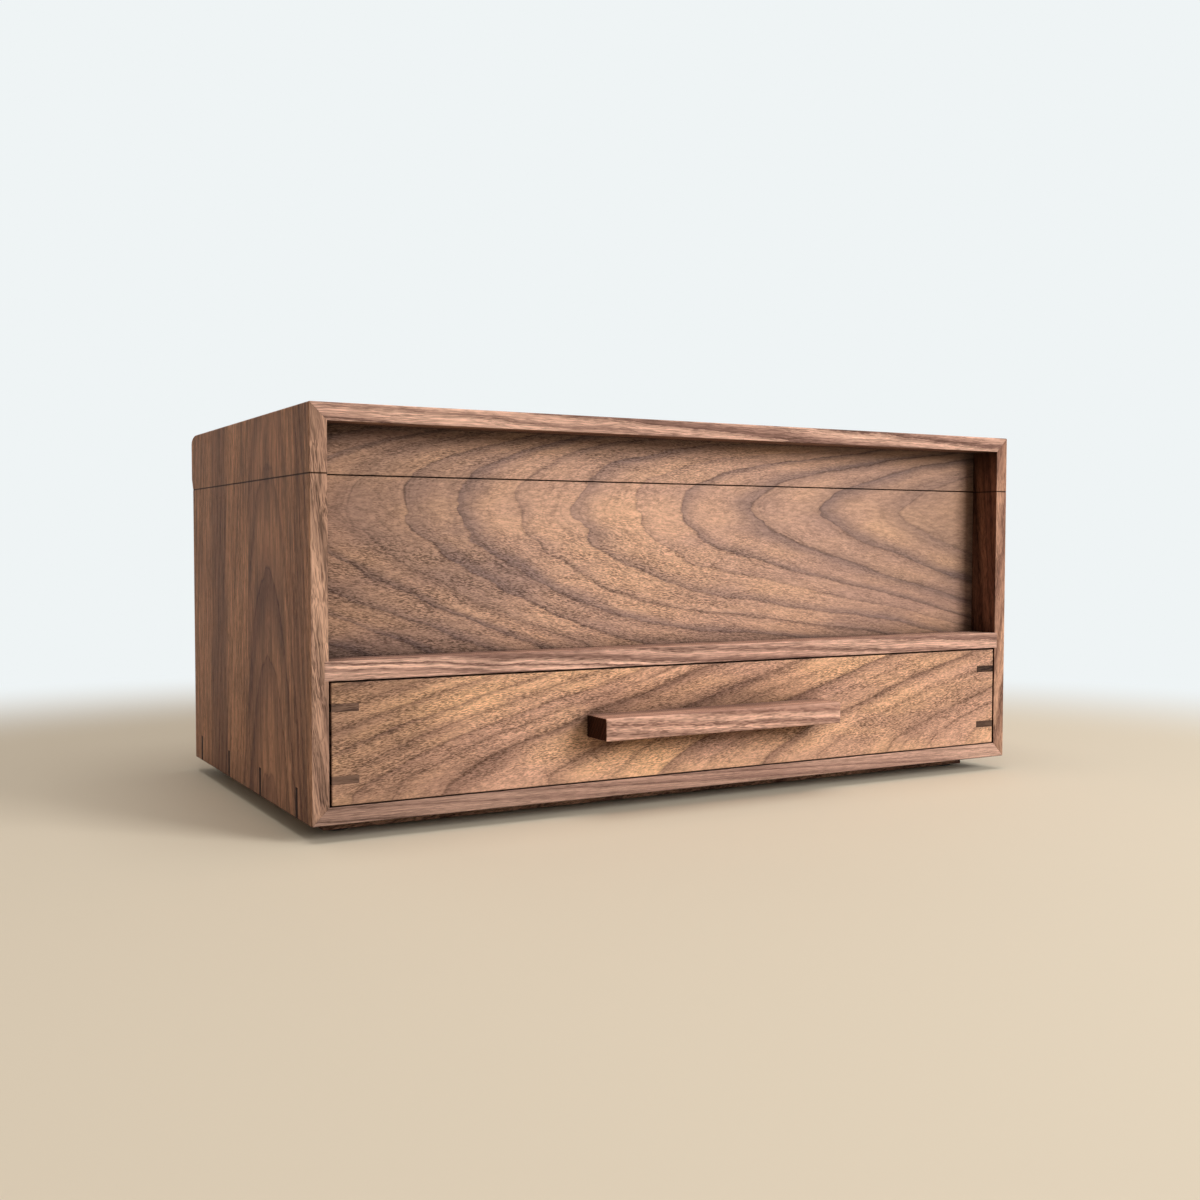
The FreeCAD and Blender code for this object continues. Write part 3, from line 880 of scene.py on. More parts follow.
    def open_pores(self, graph: Graph, fibre: Value, shade: Value, line: Value) -> bpy.types.NodeSocket:
        """Scatter open pores, which are strokes along the fibres and crowd the start of a ring.

        Args:
            graph: The material's nodes.
            fibre: The point in the fibres' own directions.
            shade: How dark the ring is here.
            line: How much of a thin dark line is here.

        Returns:
            1 in a pore and 0 beside it.
        """
        bend = graph.noise(self.stretch(graph, fibre, *self.PORE_BEND_SIZE), detail=1.0)
        shift = graph.vector("SUBTRACT", bend.outputs["Color"], (0.5, 0.5, 0.5))
        reach = (0.0, self.PORE_BEND_REACH, self.PORE_BEND_REACH)
        bent = graph.vector("MULTIPLY_ADD", shift, reach, fibre)
        large = graph.cells(self.drawn_out(graph, bent, *self.PORE_SIZE)).outputs["Distance"]
        small = graph.cells(self.drawn_out(graph, bent, *self.SMALL_PORE_SIZE)).outputs["Distance"]
        strokes = graph.math(
            "MAXIMUM",
            graph.slope(large, *self.PORE_RAMP),
            graph.math("MULTIPLY", graph.slope(small, *self.SMALL_PORE_RAMP), self.SMALL_PORE_SHARE),
        )
        patch = graph.noise(self.stretch(graph, fibre, *self.PORE_PATCH_SIZE), detail=1.0).outputs["Fac"]
        crowd = graph.slope(patch, *self.PORE_PATCH_RAMP)
        crowd = graph.math("MULTIPLY_ADD", shade, self.PORES_IN_SHADE, crowd)
        density = graph.math("MULTIPLY_ADD", line, self.PORES_ON_LINE, crowd, clamp=True)
        return graph.math("MULTIPLY", strokes, density)

    def colour(
        self,
        graph: Graph,
        place: Value,
        rings: tuple[Value, Value, Value],
        streak: Value,
        dash: Value,
        pore: Value,
    ) -> bpy.types.NodeSocket:
        """Lay the board's colours over one another.

        Args:
            graph: The material's nodes.
            place: The point along the grain, width and thickness.
            rings: The ring's darkness, thin lines and hue.
            streak: The long streaks.
            dash: The dense short dashes.
            pore: 1 in a pore.

        Returns:
            The colour.
        """
        tone = self.tone
        shade, line, hue = rings
        cloud = graph.noise(self.stretch(graph, place, *self.CLOUD_SIZE), detail=2.0).outputs["Fac"]
        dulled = graph.math("MULTIPLY_ADD", hue, self.HUE_SHARE, graph.slope(cloud, *self.CLOUD_RAMP))
        colour = graph.mix(dulled, tone.light, tone.middle)
        gloom = graph.noise(self.stretch(graph, place, *self.GLOOM_SIZE), detail=1.0).outputs["Fac"]
        shade = graph.math("ADD", shade, graph.slope(gloom, *self.GLOOM_RAMP), clamp=True)
        colour = graph.mix(shade, colour, tone.dark)
        streaks = graph.slope(streak, *self.STREAK_RAMP, 1.0 - self.streaks, 1.0 + self.streaks)
        colour = graph.mix(1.0, colour, graph.combine(streaks, streaks, streaks), "MULTIPLY")
        flecks = graph.math("MULTIPLY_ADD", dash, -self.flecks, 1.0 + self.FLECK_LIFT * self.flecks)
        colour = graph.mix(1.0, colour, graph.combine(flecks, flecks, flecks), "MULTIPLY")
        ragged = graph.math("MULTIPLY_ADD", dash, 0.5, 0.5)
        colour = graph.mix(graph.math("MULTIPLY", line, ragged), colour, tone.line)
        return graph.mix(graph.math("MULTIPLY", pore, self.pores), colour, tone.pore)

    @staticmethod
    def laid(graph: Graph, place: Value, marks: tuple[tuple[float, float], ...]) -> bpy.types.NodeSocket:
        """Follow a curve through marks along or across a board.

        Args:
            graph: The material's nodes.
            place: Where it is read, in millimetres.
            marks: The places in millimetres, and the value at each.

        Returns:
            The curve's value there.
        """
        first, last = marks[0][0], marks[-1][0]
        least = min(value for _, value in marks)
        most = max(value for _, value in marks)
        share = graph.math("DIVIDE", graph.math("SUBTRACT", place, first), last - first)
        ends = [
            ((where - first) / (last - first), (value - least) / (most - least))
            for where, value in marks
        ]
        return graph.math("MULTIPLY_ADD", graph.curve(share, ends), most - least, least)

    def end_grain(self, graph: Graph, colour: Value) -> bpy.types.NodeSocket:
        """Darken faces cut across the fibres, which drink more oil, and paint the light and shade of the one
        face that the finish names.

        Args:
            graph: The material's nodes.
            colour: The board's colour.

        Returns:
            The colour with both in it.
        """
        normal = graph.node("TexCoord").outputs["Normal"]
        facing = graph.math("ABSOLUTE", graph.vector("DOT_PRODUCT", normal, self.lie.value[0]))
        oiled = graph.mix(1.0, colour, self.END_GRAIN, "MULTIPLY")
        colour = graph.mix(graph.slope(facing, *self.FACING_RAMP), colour, oiled)
        if self.painted_face_shade is None:
            return colour
        # painted shade: the named face is multiplied by its colour
        way, face_shade = self.painted_face_shade
        facing = graph.slope(graph.vector("DOT_PRODUCT", normal, way), *self.FACING_RAMP)
        return graph.mix(facing, colour, graph.mix(1.0, colour, face_shade, "MULTIPLY"))

    def paint_corner_shade(self, graph: Graph, colour: Value) -> bpy.types.NodeSocket:
        """Paint shade into inner corners, darker where the Ambient Occlusion node finds surfaces close by.

        Args:
            graph: The material's nodes.
            colour: The board's colour.

        Returns:
            The darkened colour.
        """
        if not self.painted_shade_reach:
            return colour
        open_share = graph.node("AmbientOcclusion", samples=graph.SAMPLES)
        open_share.inputs["Distance"].default_value = self.painted_shade_reach
        shade = graph.slope(open_share.outputs["AO"], *self.CORNER_SHADE_RAMP)
        return graph.mix(1.0, colour, graph.combine(shade, shade, shade), "MULTIPLY")

    def paint_seam_shade(self, graph: Graph, colour: Value) -> Value:
        """Paint shade beside the seam's saw cut across the grain, where the board has one: the shade that
        falls into the gap between lid and case, but not onto the cut face itself.

        Args:
            graph: The material's nodes.
            colour: The board's colour.

        Returns:
            The darkened colour.
        """
        if self.cut is None:
            return colour
        away = graph.math("ABSOLUTE", graph.math("SUBTRACT", self.board_point(graph)[0], self.cut))
        normal = graph.node("TexCoord").outputs["Normal"]
        facing = graph.math("ABSOLUTE", graph.vector("DOT_PRODUCT", normal, self.lie.value[0]))
        edge = graph.slope(away, *self.SEAM_SHADE_RAMP)
        shade = graph.math("MAXIMUM", edge, graph.slope(facing, *self.FACING_RAMP))
        return graph.mix(1.0, colour, graph.combine(shade, shade, shade), "MULTIPLY")

    def drifted(self, graph: Graph, along: Value, colour: Value) -> Value:
        """Change the tone slowly along the grain, where the board does.

        Args:
            graph: The material's nodes.
            along: The point along the grain.
            colour: The board's colour.

        Returns:
            The changed colour.
        """
        if not self.drift:
            return colour
        shade = self.laid(graph, along, self.drift)
        return graph.mix(1.0, colour, graph.combine(shade, shade, shade), "MULTIPLY")


@dataclass(frozen=True)
class Felt:
    """Pressed wool felt: matted fibres with a soft sheen.

    Attributes:
        name: The finish's name, which is its material slot's name.
        light: The colour of the raised fibres.
        dark: The colour between them.
    """

    name: str
    light: Colour
    dark: Colour

    # Sizes are in millimetres and scales in features for each millimetre.
    MATTED_SCALE = 1.6
    MOTTLED_SCALE = 0.05
    SWIRL = (1.5, 1.5, 0.4)  # how far the matting bends the hairs
    HAIRS = (0.7, 3.5, 1.0)
    FIBRE_RAMP = (0.35, 0.68)
    MOTTLED_RAMP = (0.3, 0.7, 0.85, 1.15)
    ROUGH = 0.95
    SHEEN = 0.35
    SHEEN_ROUGH = 0.5
    BUMP_DEPTH = 0.5 * MM

    def material(self) -> bpy.types.Material:
        """Build the finish.

        Returns:
            The material.
        """
        graph = Graph(self.name)
        point = graph.vector("SCALE", graph.node("TexCoord").outputs["Object"])
        point.node.inputs["Scale"].default_value = 1 / MM
        matted = graph.noise(point, self.MATTED_SCALE, detail=6.0, rough=0.75)
        mottled = graph.noise(point, self.MOTTLED_SCALE, detail=3.0)
        swirl = graph.vector("MULTIPLY_ADD", matted.outputs["Color"], self.SWIRL, point)
        hair = graph.noise(graph.vector("MULTIPLY", swirl, self.HAIRS), detail=2.0)
        fibres = graph.math("MULTIPLY", graph.math("ADD", matted.outputs["Fac"], hair.outputs["Fac"]), 0.5)
        colour = graph.mix(graph.slope(fibres, *self.FIBRE_RAMP), self.dark, self.light)
        shade = graph.slope(mottled.outputs["Fac"], *self.MOTTLED_RAMP)
        colour = graph.mix(1.0, colour, graph.combine(shade, shade, shade), "MULTIPLY")
        surface = graph.node("BsdfPrincipled")
        graph.feed(surface.inputs["Base Color"], colour)
        surface.inputs["Roughness"].default_value = self.ROUGH
        surface.inputs["Sheen Weight"].default_value = self.SHEEN
        surface.inputs["Sheen Roughness"].default_value = self.SHEEN_ROUGH
        return graph.finish(surface, fibres, self.BUMP_DEPTH)


@dataclass(frozen=True)
class Metal:
    """Brushed metal with fine scratches and a little tarnish.

    Attributes:
        name: The finish's name, which is its material slot's name.
        bright: The clean metal's colour.
        dull: The tarnish's colour.
    """

    name: str
    bright: Colour
    dull: Colour

    SCRATCHES = (0.25, 9.0, 9.0)  # scratches for each millimetre along and across
    TARNISH_SCALE = 0.35
    TARNISH_RAMP = (0.35, 0.8)
    ROUGH = 0.26
    ROUGHER_SCRATCHES = 0.2
    ROUGHER_TARNISH = 0.15
    BUMP_DEPTH = 0.03 * MM
    EDGE_ROUND = 0.12 * MM

    def material(self) -> bpy.types.Material:
        """Build the finish.

        Returns:
            The material.
        """
        graph = Graph(self.name)
        point = graph.vector("SCALE", graph.node("TexCoord").outputs["Object"])
        point.node.inputs["Scale"].default_value = 1 / MM
        scratch = graph.noise(graph.vector("MULTIPLY", point, self.SCRATCHES), detail=3.0)
        tarnish = graph.noise(point, self.TARNISH_SCALE, detail=4.0, rough=0.65)
        stain = graph.slope(tarnish.outputs["Fac"], *self.TARNISH_RAMP)
        surface = graph.node("BsdfPrincipled")
        surface.inputs["Metallic"].default_value = 1.0
        graph.feed(surface.inputs["Base Color"], graph.mix(stain, self.bright, self.dull))
        scratched = scratch.outputs["Fac"]
        rough = graph.math("MULTIPLY_ADD", scratched, self.ROUGHER_SCRATCHES, self.ROUGH)
        rough = graph.math("MULTIPLY_ADD", stain, self.ROUGHER_TARNISH, rough)
        graph.feed(surface.inputs["Roughness"], rough)
        return graph.finish(surface, scratched, self.BUMP_DEPTH, self.EDGE_ROUND)


@dataclass(frozen=True)
class Rubber:
    """Matt rubber with a fine pebbled skin.

    Attributes:
        name: The finish's name, which is its material slot's name.
        colour: Its colour.
    """

    name: str
    colour: Colour

    PEBBLE_SCALE = 3.0  # pebbles and dust marks for each millimetre
    DUST_SCALE = 0.6
    DUST = (0.12, 0.11, 0.10)
    DUST_RAMP = (0.4, 0.75, 0.0, 0.35)
    ROUGH_RAMP = (0.3, 0.7, 0.65, 0.85)
    BUMP_DEPTH = 0.05 * MM
    EDGE_ROUND = 0.2 * MM

    def material(self) -> bpy.types.Material:
        """Build the finish.

        Returns:
            The material.
        """
        graph = Graph(self.name)
        point = graph.vector("SCALE", graph.node("TexCoord").outputs["Object"])
        point.node.inputs["Scale"].default_value = 1 / MM
        pebble = graph.cells(point, self.PEBBLE_SCALE).outputs["Distance"]
        dust = graph.noise(point, self.DUST_SCALE, detail=4.0).outputs["Fac"]
        colour = graph.mix(graph.slope(dust, *self.DUST_RAMP), self.colour, self.DUST)
        surface = graph.node("BsdfPrincipled")
        graph.feed(surface.inputs["Base Color"], colour)
        graph.feed(surface.inputs["Roughness"], graph.slope(dust, *self.ROUGH_RAMP))
        return graph.finish(surface, pebble, self.BUMP_DEPTH, self.EDGE_ROUND)


Finish = Union[Walnut, Felt, Metal, Rubber]


# ---------------------------------------------------------------- tones and boards
CASE_TONE = Tone(
    light=chart(226, 176, 144),
    middle=chart(198, 150, 124),
    dark=chart(152, 112, 94),
    line=chart(84, 57, 48),
    pore=chart(92, 62, 50),
)
EDGE_TONE = Tone(
    light=chart(246, 200, 175),
    middle=chart(221, 175, 154),
    dark=chart(166, 128, 113),
    line=chart(90, 63, 54),
    pore=chart(98, 68, 57),
)
# A darker, redder copy of the case's tone for the left side, whose big outer face turns from the lamps:
# painted shade.
SHADED_SIDE_TONE = Tone(
    light=chart(216, 163, 130),
    middle=chart(188, 138, 110),
    dark=chart(132, 95, 79),
    line=chart(74, 48, 41),
    pore=chart(80, 53, 42),
)
PANEL_TONE = Tone(
    light=chart(232, 185, 151),
    middle=chart(201, 161, 142),
    dark=chart(159, 131, 121),
    line=chart(92, 72, 67),
    pore=chart(98, 71, 60),
)
DRAWER_TONE = Tone(
    light=chart(246, 194, 149),
    middle=chart(212, 165, 140),
    dark=chart(162, 125, 106),
    line=chart(90, 65, 54),
    pore=chart(100, 70, 54),
)
HANDLE_TONE = Tone(
    light=chart(245, 196, 171),
    middle=chart(225, 177, 153),
    dark=chart(171, 130, 113),
    line=chart(104, 73, 62),
    pore=chart(112, 79, 66),
)
KEY_TONE = Tone(
    light=chart(82, 44, 27),
    middle=chart(72, 38, 23),
    dark=chart(60, 31, 19),
    line=chart(42, 22, 14),
    pore=chart(38, 20, 13),
)
DRAWER_KEY_TONE = Tone(
    light=chart(104, 80, 67),
    middle=chart(88, 68, 56),
    dark=chart(70, 53, 44),
    line=chart(50, 36, 32),
    pore=chart(44, 32, 28),
)

# The case and the lid were glued up as one box and sawn apart at the seam, so each pair
# of boards above and below the seam is one board with one finish.
SEAM = -127.55  # where it crosses the sides, whose grain is measured down from their lowest corner
LEFT_BOARD = Walnut(
    "walnut_case_left",
    Lie.UPRIGHT,
    "left_side",
    Figure(
        53.0, -50.0, 0.0, 0.116,
        rings=(
            Ring(-430.0, 0.2, 0.2, 0.1), Ring(-375.0, 0.3, 0.3, 0.1), Ring(-325.0, 0.2, 0.2, 0.2),
            Ring(-280.0, 0.4, 0.4, 0.1), Ring(-240.0, 0.5, 0.4, 0.3), Ring(-203.0, 0.5, 0.3, 0.2),
            Ring(-170.0, 0.3, 0.3, 0.2), Ring(-132.4, 0.5, 0.5, 0.4), Ring(-91.5, 0.9, 0.7, 0.2),
            Ring(-56.5, 0.6, 0.5, 0.1), Ring(-10.0, 0.3, 0.5, 0.3), Ring(35.0, 0.3, 0.3, 0.2),
        ),
        wave=1.3, kink=1.8, shoulder=8.0, seed=3.0,
    ),
    SHADED_SIDE_TONE,
    bands=(
        (0, 0.0), (12, 0.4), (26, 0.1), (40, 0.25), (60, 0.25), (80, 0.5), (86, 0.0),
        (98, -0.8), (116, -0.7), (126, 0.6), (146, 0.55), (156, -0.1), (168, 0.1), (185, 0.5),
    ),
    # painted shade beside the seam
    cut=SEAM,
    # a cooler, darker hue painted on the lit front face, set against the painted shade of the side tone
    painted_face_shade=((0.0, -1.0, 0.0), (0.76, 0.85, 0.94)),
    stroke=2.4,
    streaks=0.36,
    streak_width=2.4,
    flecks=0.54,
    pores=0.6,
    hairlines=0.15,
)
RIGHT_BOARD = Walnut(
    "walnut_case_right",
    Lie.UPRIGHT,
    "right_side",
    Figure(96.0, 48.6, 6.6, 0.10, run=(-33.6, 44.0), wave=1.8, seed=7.0),
    CASE_TONE,
    # painted shade beside the seam
    cut=SEAM,
    # painted shade on the inner face, which turns from the lamps
    painted_face_shade=((-1.0, 0.0, 0.0), (0.46, 0.36, 0.33)),
    stroke=1.6,
)
TOP_BOARD = Walnut(
    "walnut_case_top",
    Lie.ALONG_FLAT,
    "bottom_board",
    Figure(70.8, 208.6, 153.2, 0.035, run=(141.5, 100.0), wave=1.3, kink=0.8, seed=12.0),
    EDGE_TONE,
    # painted shade on the underside, which faces down, away from the lamps
    painted_face_shade=((0.0, 0.0, -1.0), (0.5, 0.48, 0.46)),
    stroke=2.0,
    streaks=0.26,
    flecks=0.48,
    pores=0.65,
)
# the top board's finish, with the same painted shade on its underside, darker towards its left end
BOTTOM_BOARD = replace(
    TOP_BOARD,
    name="walnut_case_bottom",
    drift=((0.0, 0.58), (60.0, 0.70), (140.0, 0.86), (343.0, 0.94)),
    stroke=1.5,
    flecks=0.66,
    pores=0.85,
)
FRONT_BOARD = Walnut(
    "walnut_front_panel",
    Lie.ALONG,
    "upper_front_panel",
    Figure(
        58.1, -33.0, 0.0, 0.33,
        rings=(
            Ring(-136.5, 0.0, 0.2, 0.1), Ring(-110.5, 0.5, 0.4, 0.2), Ring(-82.5, 0.7, 0.6, 0.0),
            Ring(-56.5, 0.5, 0.6, 0.3), Ring(-32.5, 0.7, 0.6, 0.1), Ring(-8.5, 0.6, 0.7, 0.2),
            Ring(14.5, 0.6, 0.4, 0.1), Ring(36.5, 0.9, 0.6, 0.4), Ring(58.5, 0.6, 0.9, 0.1),
            Ring(84.5, 0.7, 0.4, 0.1), Ring(110.5, 0.6, 0.7, 0.0), Ring(139.5, 0.5, 0.2, 0.1),
            Ring(161.5, 0.8, 0.8, 0.9), Ring(199.5, 1.0, 0.4, 0.3), Ring(234.5, 0.8, 0.9, 0.5),
            Ring(284.5, 0.5, 0.3, 0.2), Ring(331.5, 0.4, 0.4, 0.2), Ring(371.5, 0.4, 0.4, 0.2),
        ),
        wave=1.2, kink=4.0, lean=0.028, closing=Closing(110.0, 290.0, 1.6, 9.0), seed=5.0,
    ),
    PANEL_TONE,
    drift=(
        (0.0, 0.56), (30.0, 0.64), (60.0, 0.80), (125.0, 0.96), (200.0, 0.91), (265.0, 0.79),
        (333.0, 0.52),
    ),
    calm=((0.0, 1.0), (150.0, 1.0), (230.0, 0.6), (333.0, 0.35)),
    # the painted shade reaches 10.5 mm into the panel's inner corners
    painted_shade_reach=10.5 * MM,
    flecks=0.62,
    pores=0.85,
)
BACK_BOARD = Walnut(
    "walnut_back",
    Lie.ALONG,
    "back_panel",
    Figure(45.0, 48.7, 6.7, 0.18, run=(143.9, 34.0), wave=2.2, seed=31.0),
    CASE_TONE,
)
KEYS = Walnut(
    "walnut_keys",
    Lie.ALONG,
    "left_corner_keys",
    Figure(3.6, 28.8, 68.8, 0.1, run=(131.5, 40.0), wave=1.0, seed=71.0),
    KEY_TONE,
)
DRAWER_KEYS = Walnut(
    "walnut_drawer_keys",
    Lie.ALONG,
    "drawer_front_keys",
    Figure(3.6, 28.8, 68.8, 0.1, run=(131.5, 40.0), wave=1.0, seed=73.0),
    DRAWER_KEY_TONE,
    drift=((0.0, 2.1), (100.0, 2.1), (200.0, 1.0), (328.0, 1.0)),
)
BRASS = Metal("hinge_brass", (0.46, 0.36, 0.21), (0.34, 0.26, 0.15))
STEEL = Metal("screw_steel", (0.62, 0.62, 0.63), (0.40, 0.39, 0.37))
RUBBER = Rubber("pad_rubber", (0.022, 0.020, 0.019))
FELT = Felt("lining_felt", chart(74, 72, 72), chart(34, 33, 34))


# ---------------------------------------------------------------- the box
MADE: dict[str, bpy.types.Material] = {}


def dress(piece: bpy.types.Object, finish: Finish) -> None:
    """Give a piece one finish all over, building the finish when it is first used.

    Args:
        piece: The piece's object.
        finish: Its finish.
    """
    if finish.name not in MADE:
        MADE[finish.name] = finish.material()
    piece.data.materials.clear()
    piece.data.materials.append(MADE[finish.name])


@dataclass
class SubAssembly:
    """A group of pieces that are made and dressed together."""

    def finishes(self) -> dict[str, Finish]:
        """Give the finish of each solid in the group.

        Returns:
            The finish for each solid's name.
        """
        raise NotImplementedError

    def build(self) -> None:
        """Dress every solid in the group."""
        for node, finish in self.finishes().items():
            dress(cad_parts[node], finish)
            LOG.info("%s: %s in %s", type(self).__name__, node, finish.name)


@dataclass
class Case(SubAssembly):
    """The case: mitred sides and bottom, shelf, set-back front panel, back and corner keys.

    Attributes:
        shelf_figure: The shelf's growth rings, in millimetres.
    """

    shelf_figure: Figure = Figure(70.0, 67.2, 7.2, 0.03, run=(116.4, 85.0), wave=0.9, kink=0.6, seed=21.0)

    def finishes(self) -> dict[str, Finish]:
        """Give the finish of each board and of the keys.

        Returns:
            The finish for each solid's name.
        """
        shelf = Walnut(
            "walnut_shelf",
            Lie.ALONG_FLAT,
            "shelf_board",
            self.shelf_figure,
            EDGE_TONE,
            drift=((0.0, 1.04), (343.0, 1.12)),
            stroke=2.0,
            streaks=0.28,
            flecks=0.5,
            pores=0.6,
        )
        return {
            "left_side": LEFT_BOARD,
            "right_side": RIGHT_BOARD,
            "bottom_board": BOTTOM_BOARD,
            "shelf_board": shelf,
            "upper_front_panel": FRONT_BOARD,
            "back_panel": BACK_BOARD,
            "left_corner_keys": KEYS,
            "right_corner_keys": KEYS,
        }


@dataclass
class Plinth(SubAssembly):
    """The rails under the case, and the round pads that it stands on.

    Attributes:
        long_figure: The growth rings of the front and back rails, in millimetres.
        short_figure: The growth rings of the end rails.
    """

    long_figure: Figure = Figure(78.5, -41.0, -1.0, 0.12, run=(121.5, 40.0), wave=1.5, seed=61.0)
    short_figure: Figure = Figure(171.5, -41.0, -1.0, 0.12, run=(14.5, 40.0), wave=1.5, seed=63.0)

    def finishes(self) -> dict[str, Finish]:
        """Give the finish of the rails and the pads.

        Returns:
            The finish for each solid's name.
        """
        # the rails get no painted shade in inner corners
        long_rail = Walnut(
            "walnut_plinth", Lie.ALONG_FLAT, "plinth_front_rail", self.long_figure, CASE_TONE, painted_shade_reach=0.0
        )
        short_rail = Walnut(
            "walnut_plinth_ends", Lie.DEEP_FLAT, "plinth_left_rail", self.short_figure, CASE_TONE, painted_shade_reach=0.0
        )
        return {
            "plinth_front_rail": long_rail,
            "plinth_back_rail": long_rail,
            "plinth_left_rail": short_rail,
            "plinth_right_rail": short_rail,
            "foot_pads": RUBBER,
        }


@dataclass
class FeltSheet:
    """A thin sheet of felt that lies on a board.

    Attributes:
        node: The solid that it stands for.
        body: The body that it rides on.
        rests_on: The board that it lies on.
        cell: The spacing of its mesh, in metres.
        unevenness: How far its upper face rises and falls, in metres.
        undulation: How many rises it has in a metre.
    """

    # rests_on: The board that it lies on; not used.
    node: str
    body: str
    rests_on: str
    cell: float = 4 * MM
    unevenness: float = 0.15 * MM
    undulation: float = 60.0

    def build(self) -> None:
        low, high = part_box(self.node)
        width, length, thickness = high - low
        sheet = bpy.data.objects.new(self.node + "_felt", self.mesh(low, high))
        bpy.context.scene.collection.objects.link(sheet)
        solid = sheet.modifiers.new("thickness", "SOLIDIFY")
        solid.thickness = thickness - 2 * self.unevenness
        solid.offset = -1.0
        dress(sheet, FELT)
        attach(sheet, self.body)
        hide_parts(self.node)
        LOG.info("%s: %s, %.1f by %.1f mm", type(self).__name__, sheet.name, width / MM, length / MM)

    def mesh(self, low: Vector, high: Vector) -> bpy.types.Mesh:
        """Make the sheet's upper face, a little uneven.

        Args:
            low: The lowest corner of the space that the sheet has.
            high: The highest corner of that space.

        Returns:
            The mesh, in its place.
        """
        width, length, _ = high - low
        shape = bmesh.new()
        bmesh.ops.create_grid(
            shape, x_segments=round(width / self.cell), y_segments=round(length / self.cell), size=0.5
        )
        bmesh.ops.scale(shape, vec=(width, length, 1.0), verts=shape.verts)
        middle = (low + high) / 2
        place = (middle.x, middle.y, high.z - self.unevenness)
        bmesh.ops.translate(shape, vec=place, verts=shape.verts)
        for vertex in shape.verts:
            vertex.co.z += self.unevenness * noise.noise(vertex.co * self.undulation)
        for face in shape.faces:
            face.smooth = True
        mesh = bpy.data.meshes.new(self.node + "_felt")
        shape.to_mesh(mesh)
        shape.free()
        return mesh


@dataclass
class TrayFittings(SubAssembly):
    """The felt on the shelf and the dividers that stand on it.

    Attributes:
        long_figure: The growth rings of the long divider, in millimetres.
        short_figure: The growth rings of the short dividers.
        lining: The felt.
    """

    long_figure: Figure = Figure(-27.3, 35.7, -4.3, 0.12, run=(124.9, 40.0), wave=1.5, seed=53.0)
    short_figure: Figure = Figure(-27.3, 98.9, -1.1, 0.12, run=(24.8, 40.0), wave=1.5, seed=57.0)
    lining: FeltSheet = field(default_factory=lambda: FeltSheet("tray_lining", "case", "shelf_board"))

    def finishes(self) -> dict[str, Finish]:
        """Give the finish of the dividers.

        Returns:
            The finish for each solid's name.
        """
        long_divider = Walnut(
            "walnut_dividers", Lie.ALONG, "long_divider", self.long_figure, CASE_TONE
        )
        short_divider = Walnut(
            "walnut_short_dividers", Lie.DEEP, "left_short_divider", self.short_figure, CASE_TONE
        )
        return {
            "long_divider": long_divider,
            "left_short_divider": short_divider,
            "right_short_divider": short_divider,
        }

    def build(self) -> None:
        """Dress the dividers and lay the felt."""
        super().build()
        self.lining.build()


@dataclass
class Lid(SubAssembly):
    """The lid: mitred top and sides, front rail and back rail."""

    def finishes(self) -> dict[str, Finish]:
        """Give the finish of each board.

        Returns:
            The finish for each solid's name.
        """
        return {
            "lid_top_board": TOP_BOARD,
            "lid_left_side": LEFT_BOARD,
            "lid_right_side": RIGHT_BOARD,
            "lid_front_rail": FRONT_BOARD,
            "lid_back_rail": BACK_BOARD,
        }


@dataclass
class Hinges(SubAssembly):
    """The two butt hinges, with their leaves, pins and screws."""

    def finishes(self) -> dict[str, Finish]:
        """Give the finish of each part of the hinges.

        Returns:
            The finish for each solid's name.
        """
        parts = [
            f"{side}_hinge_{part}" for side in ("left", "right") for part in ("case_leaf", "lid_leaf", "pin")
        ]
        return {part: BRASS for part in [*parts, "case_hinge_screws", "lid_hinge_screws"]}


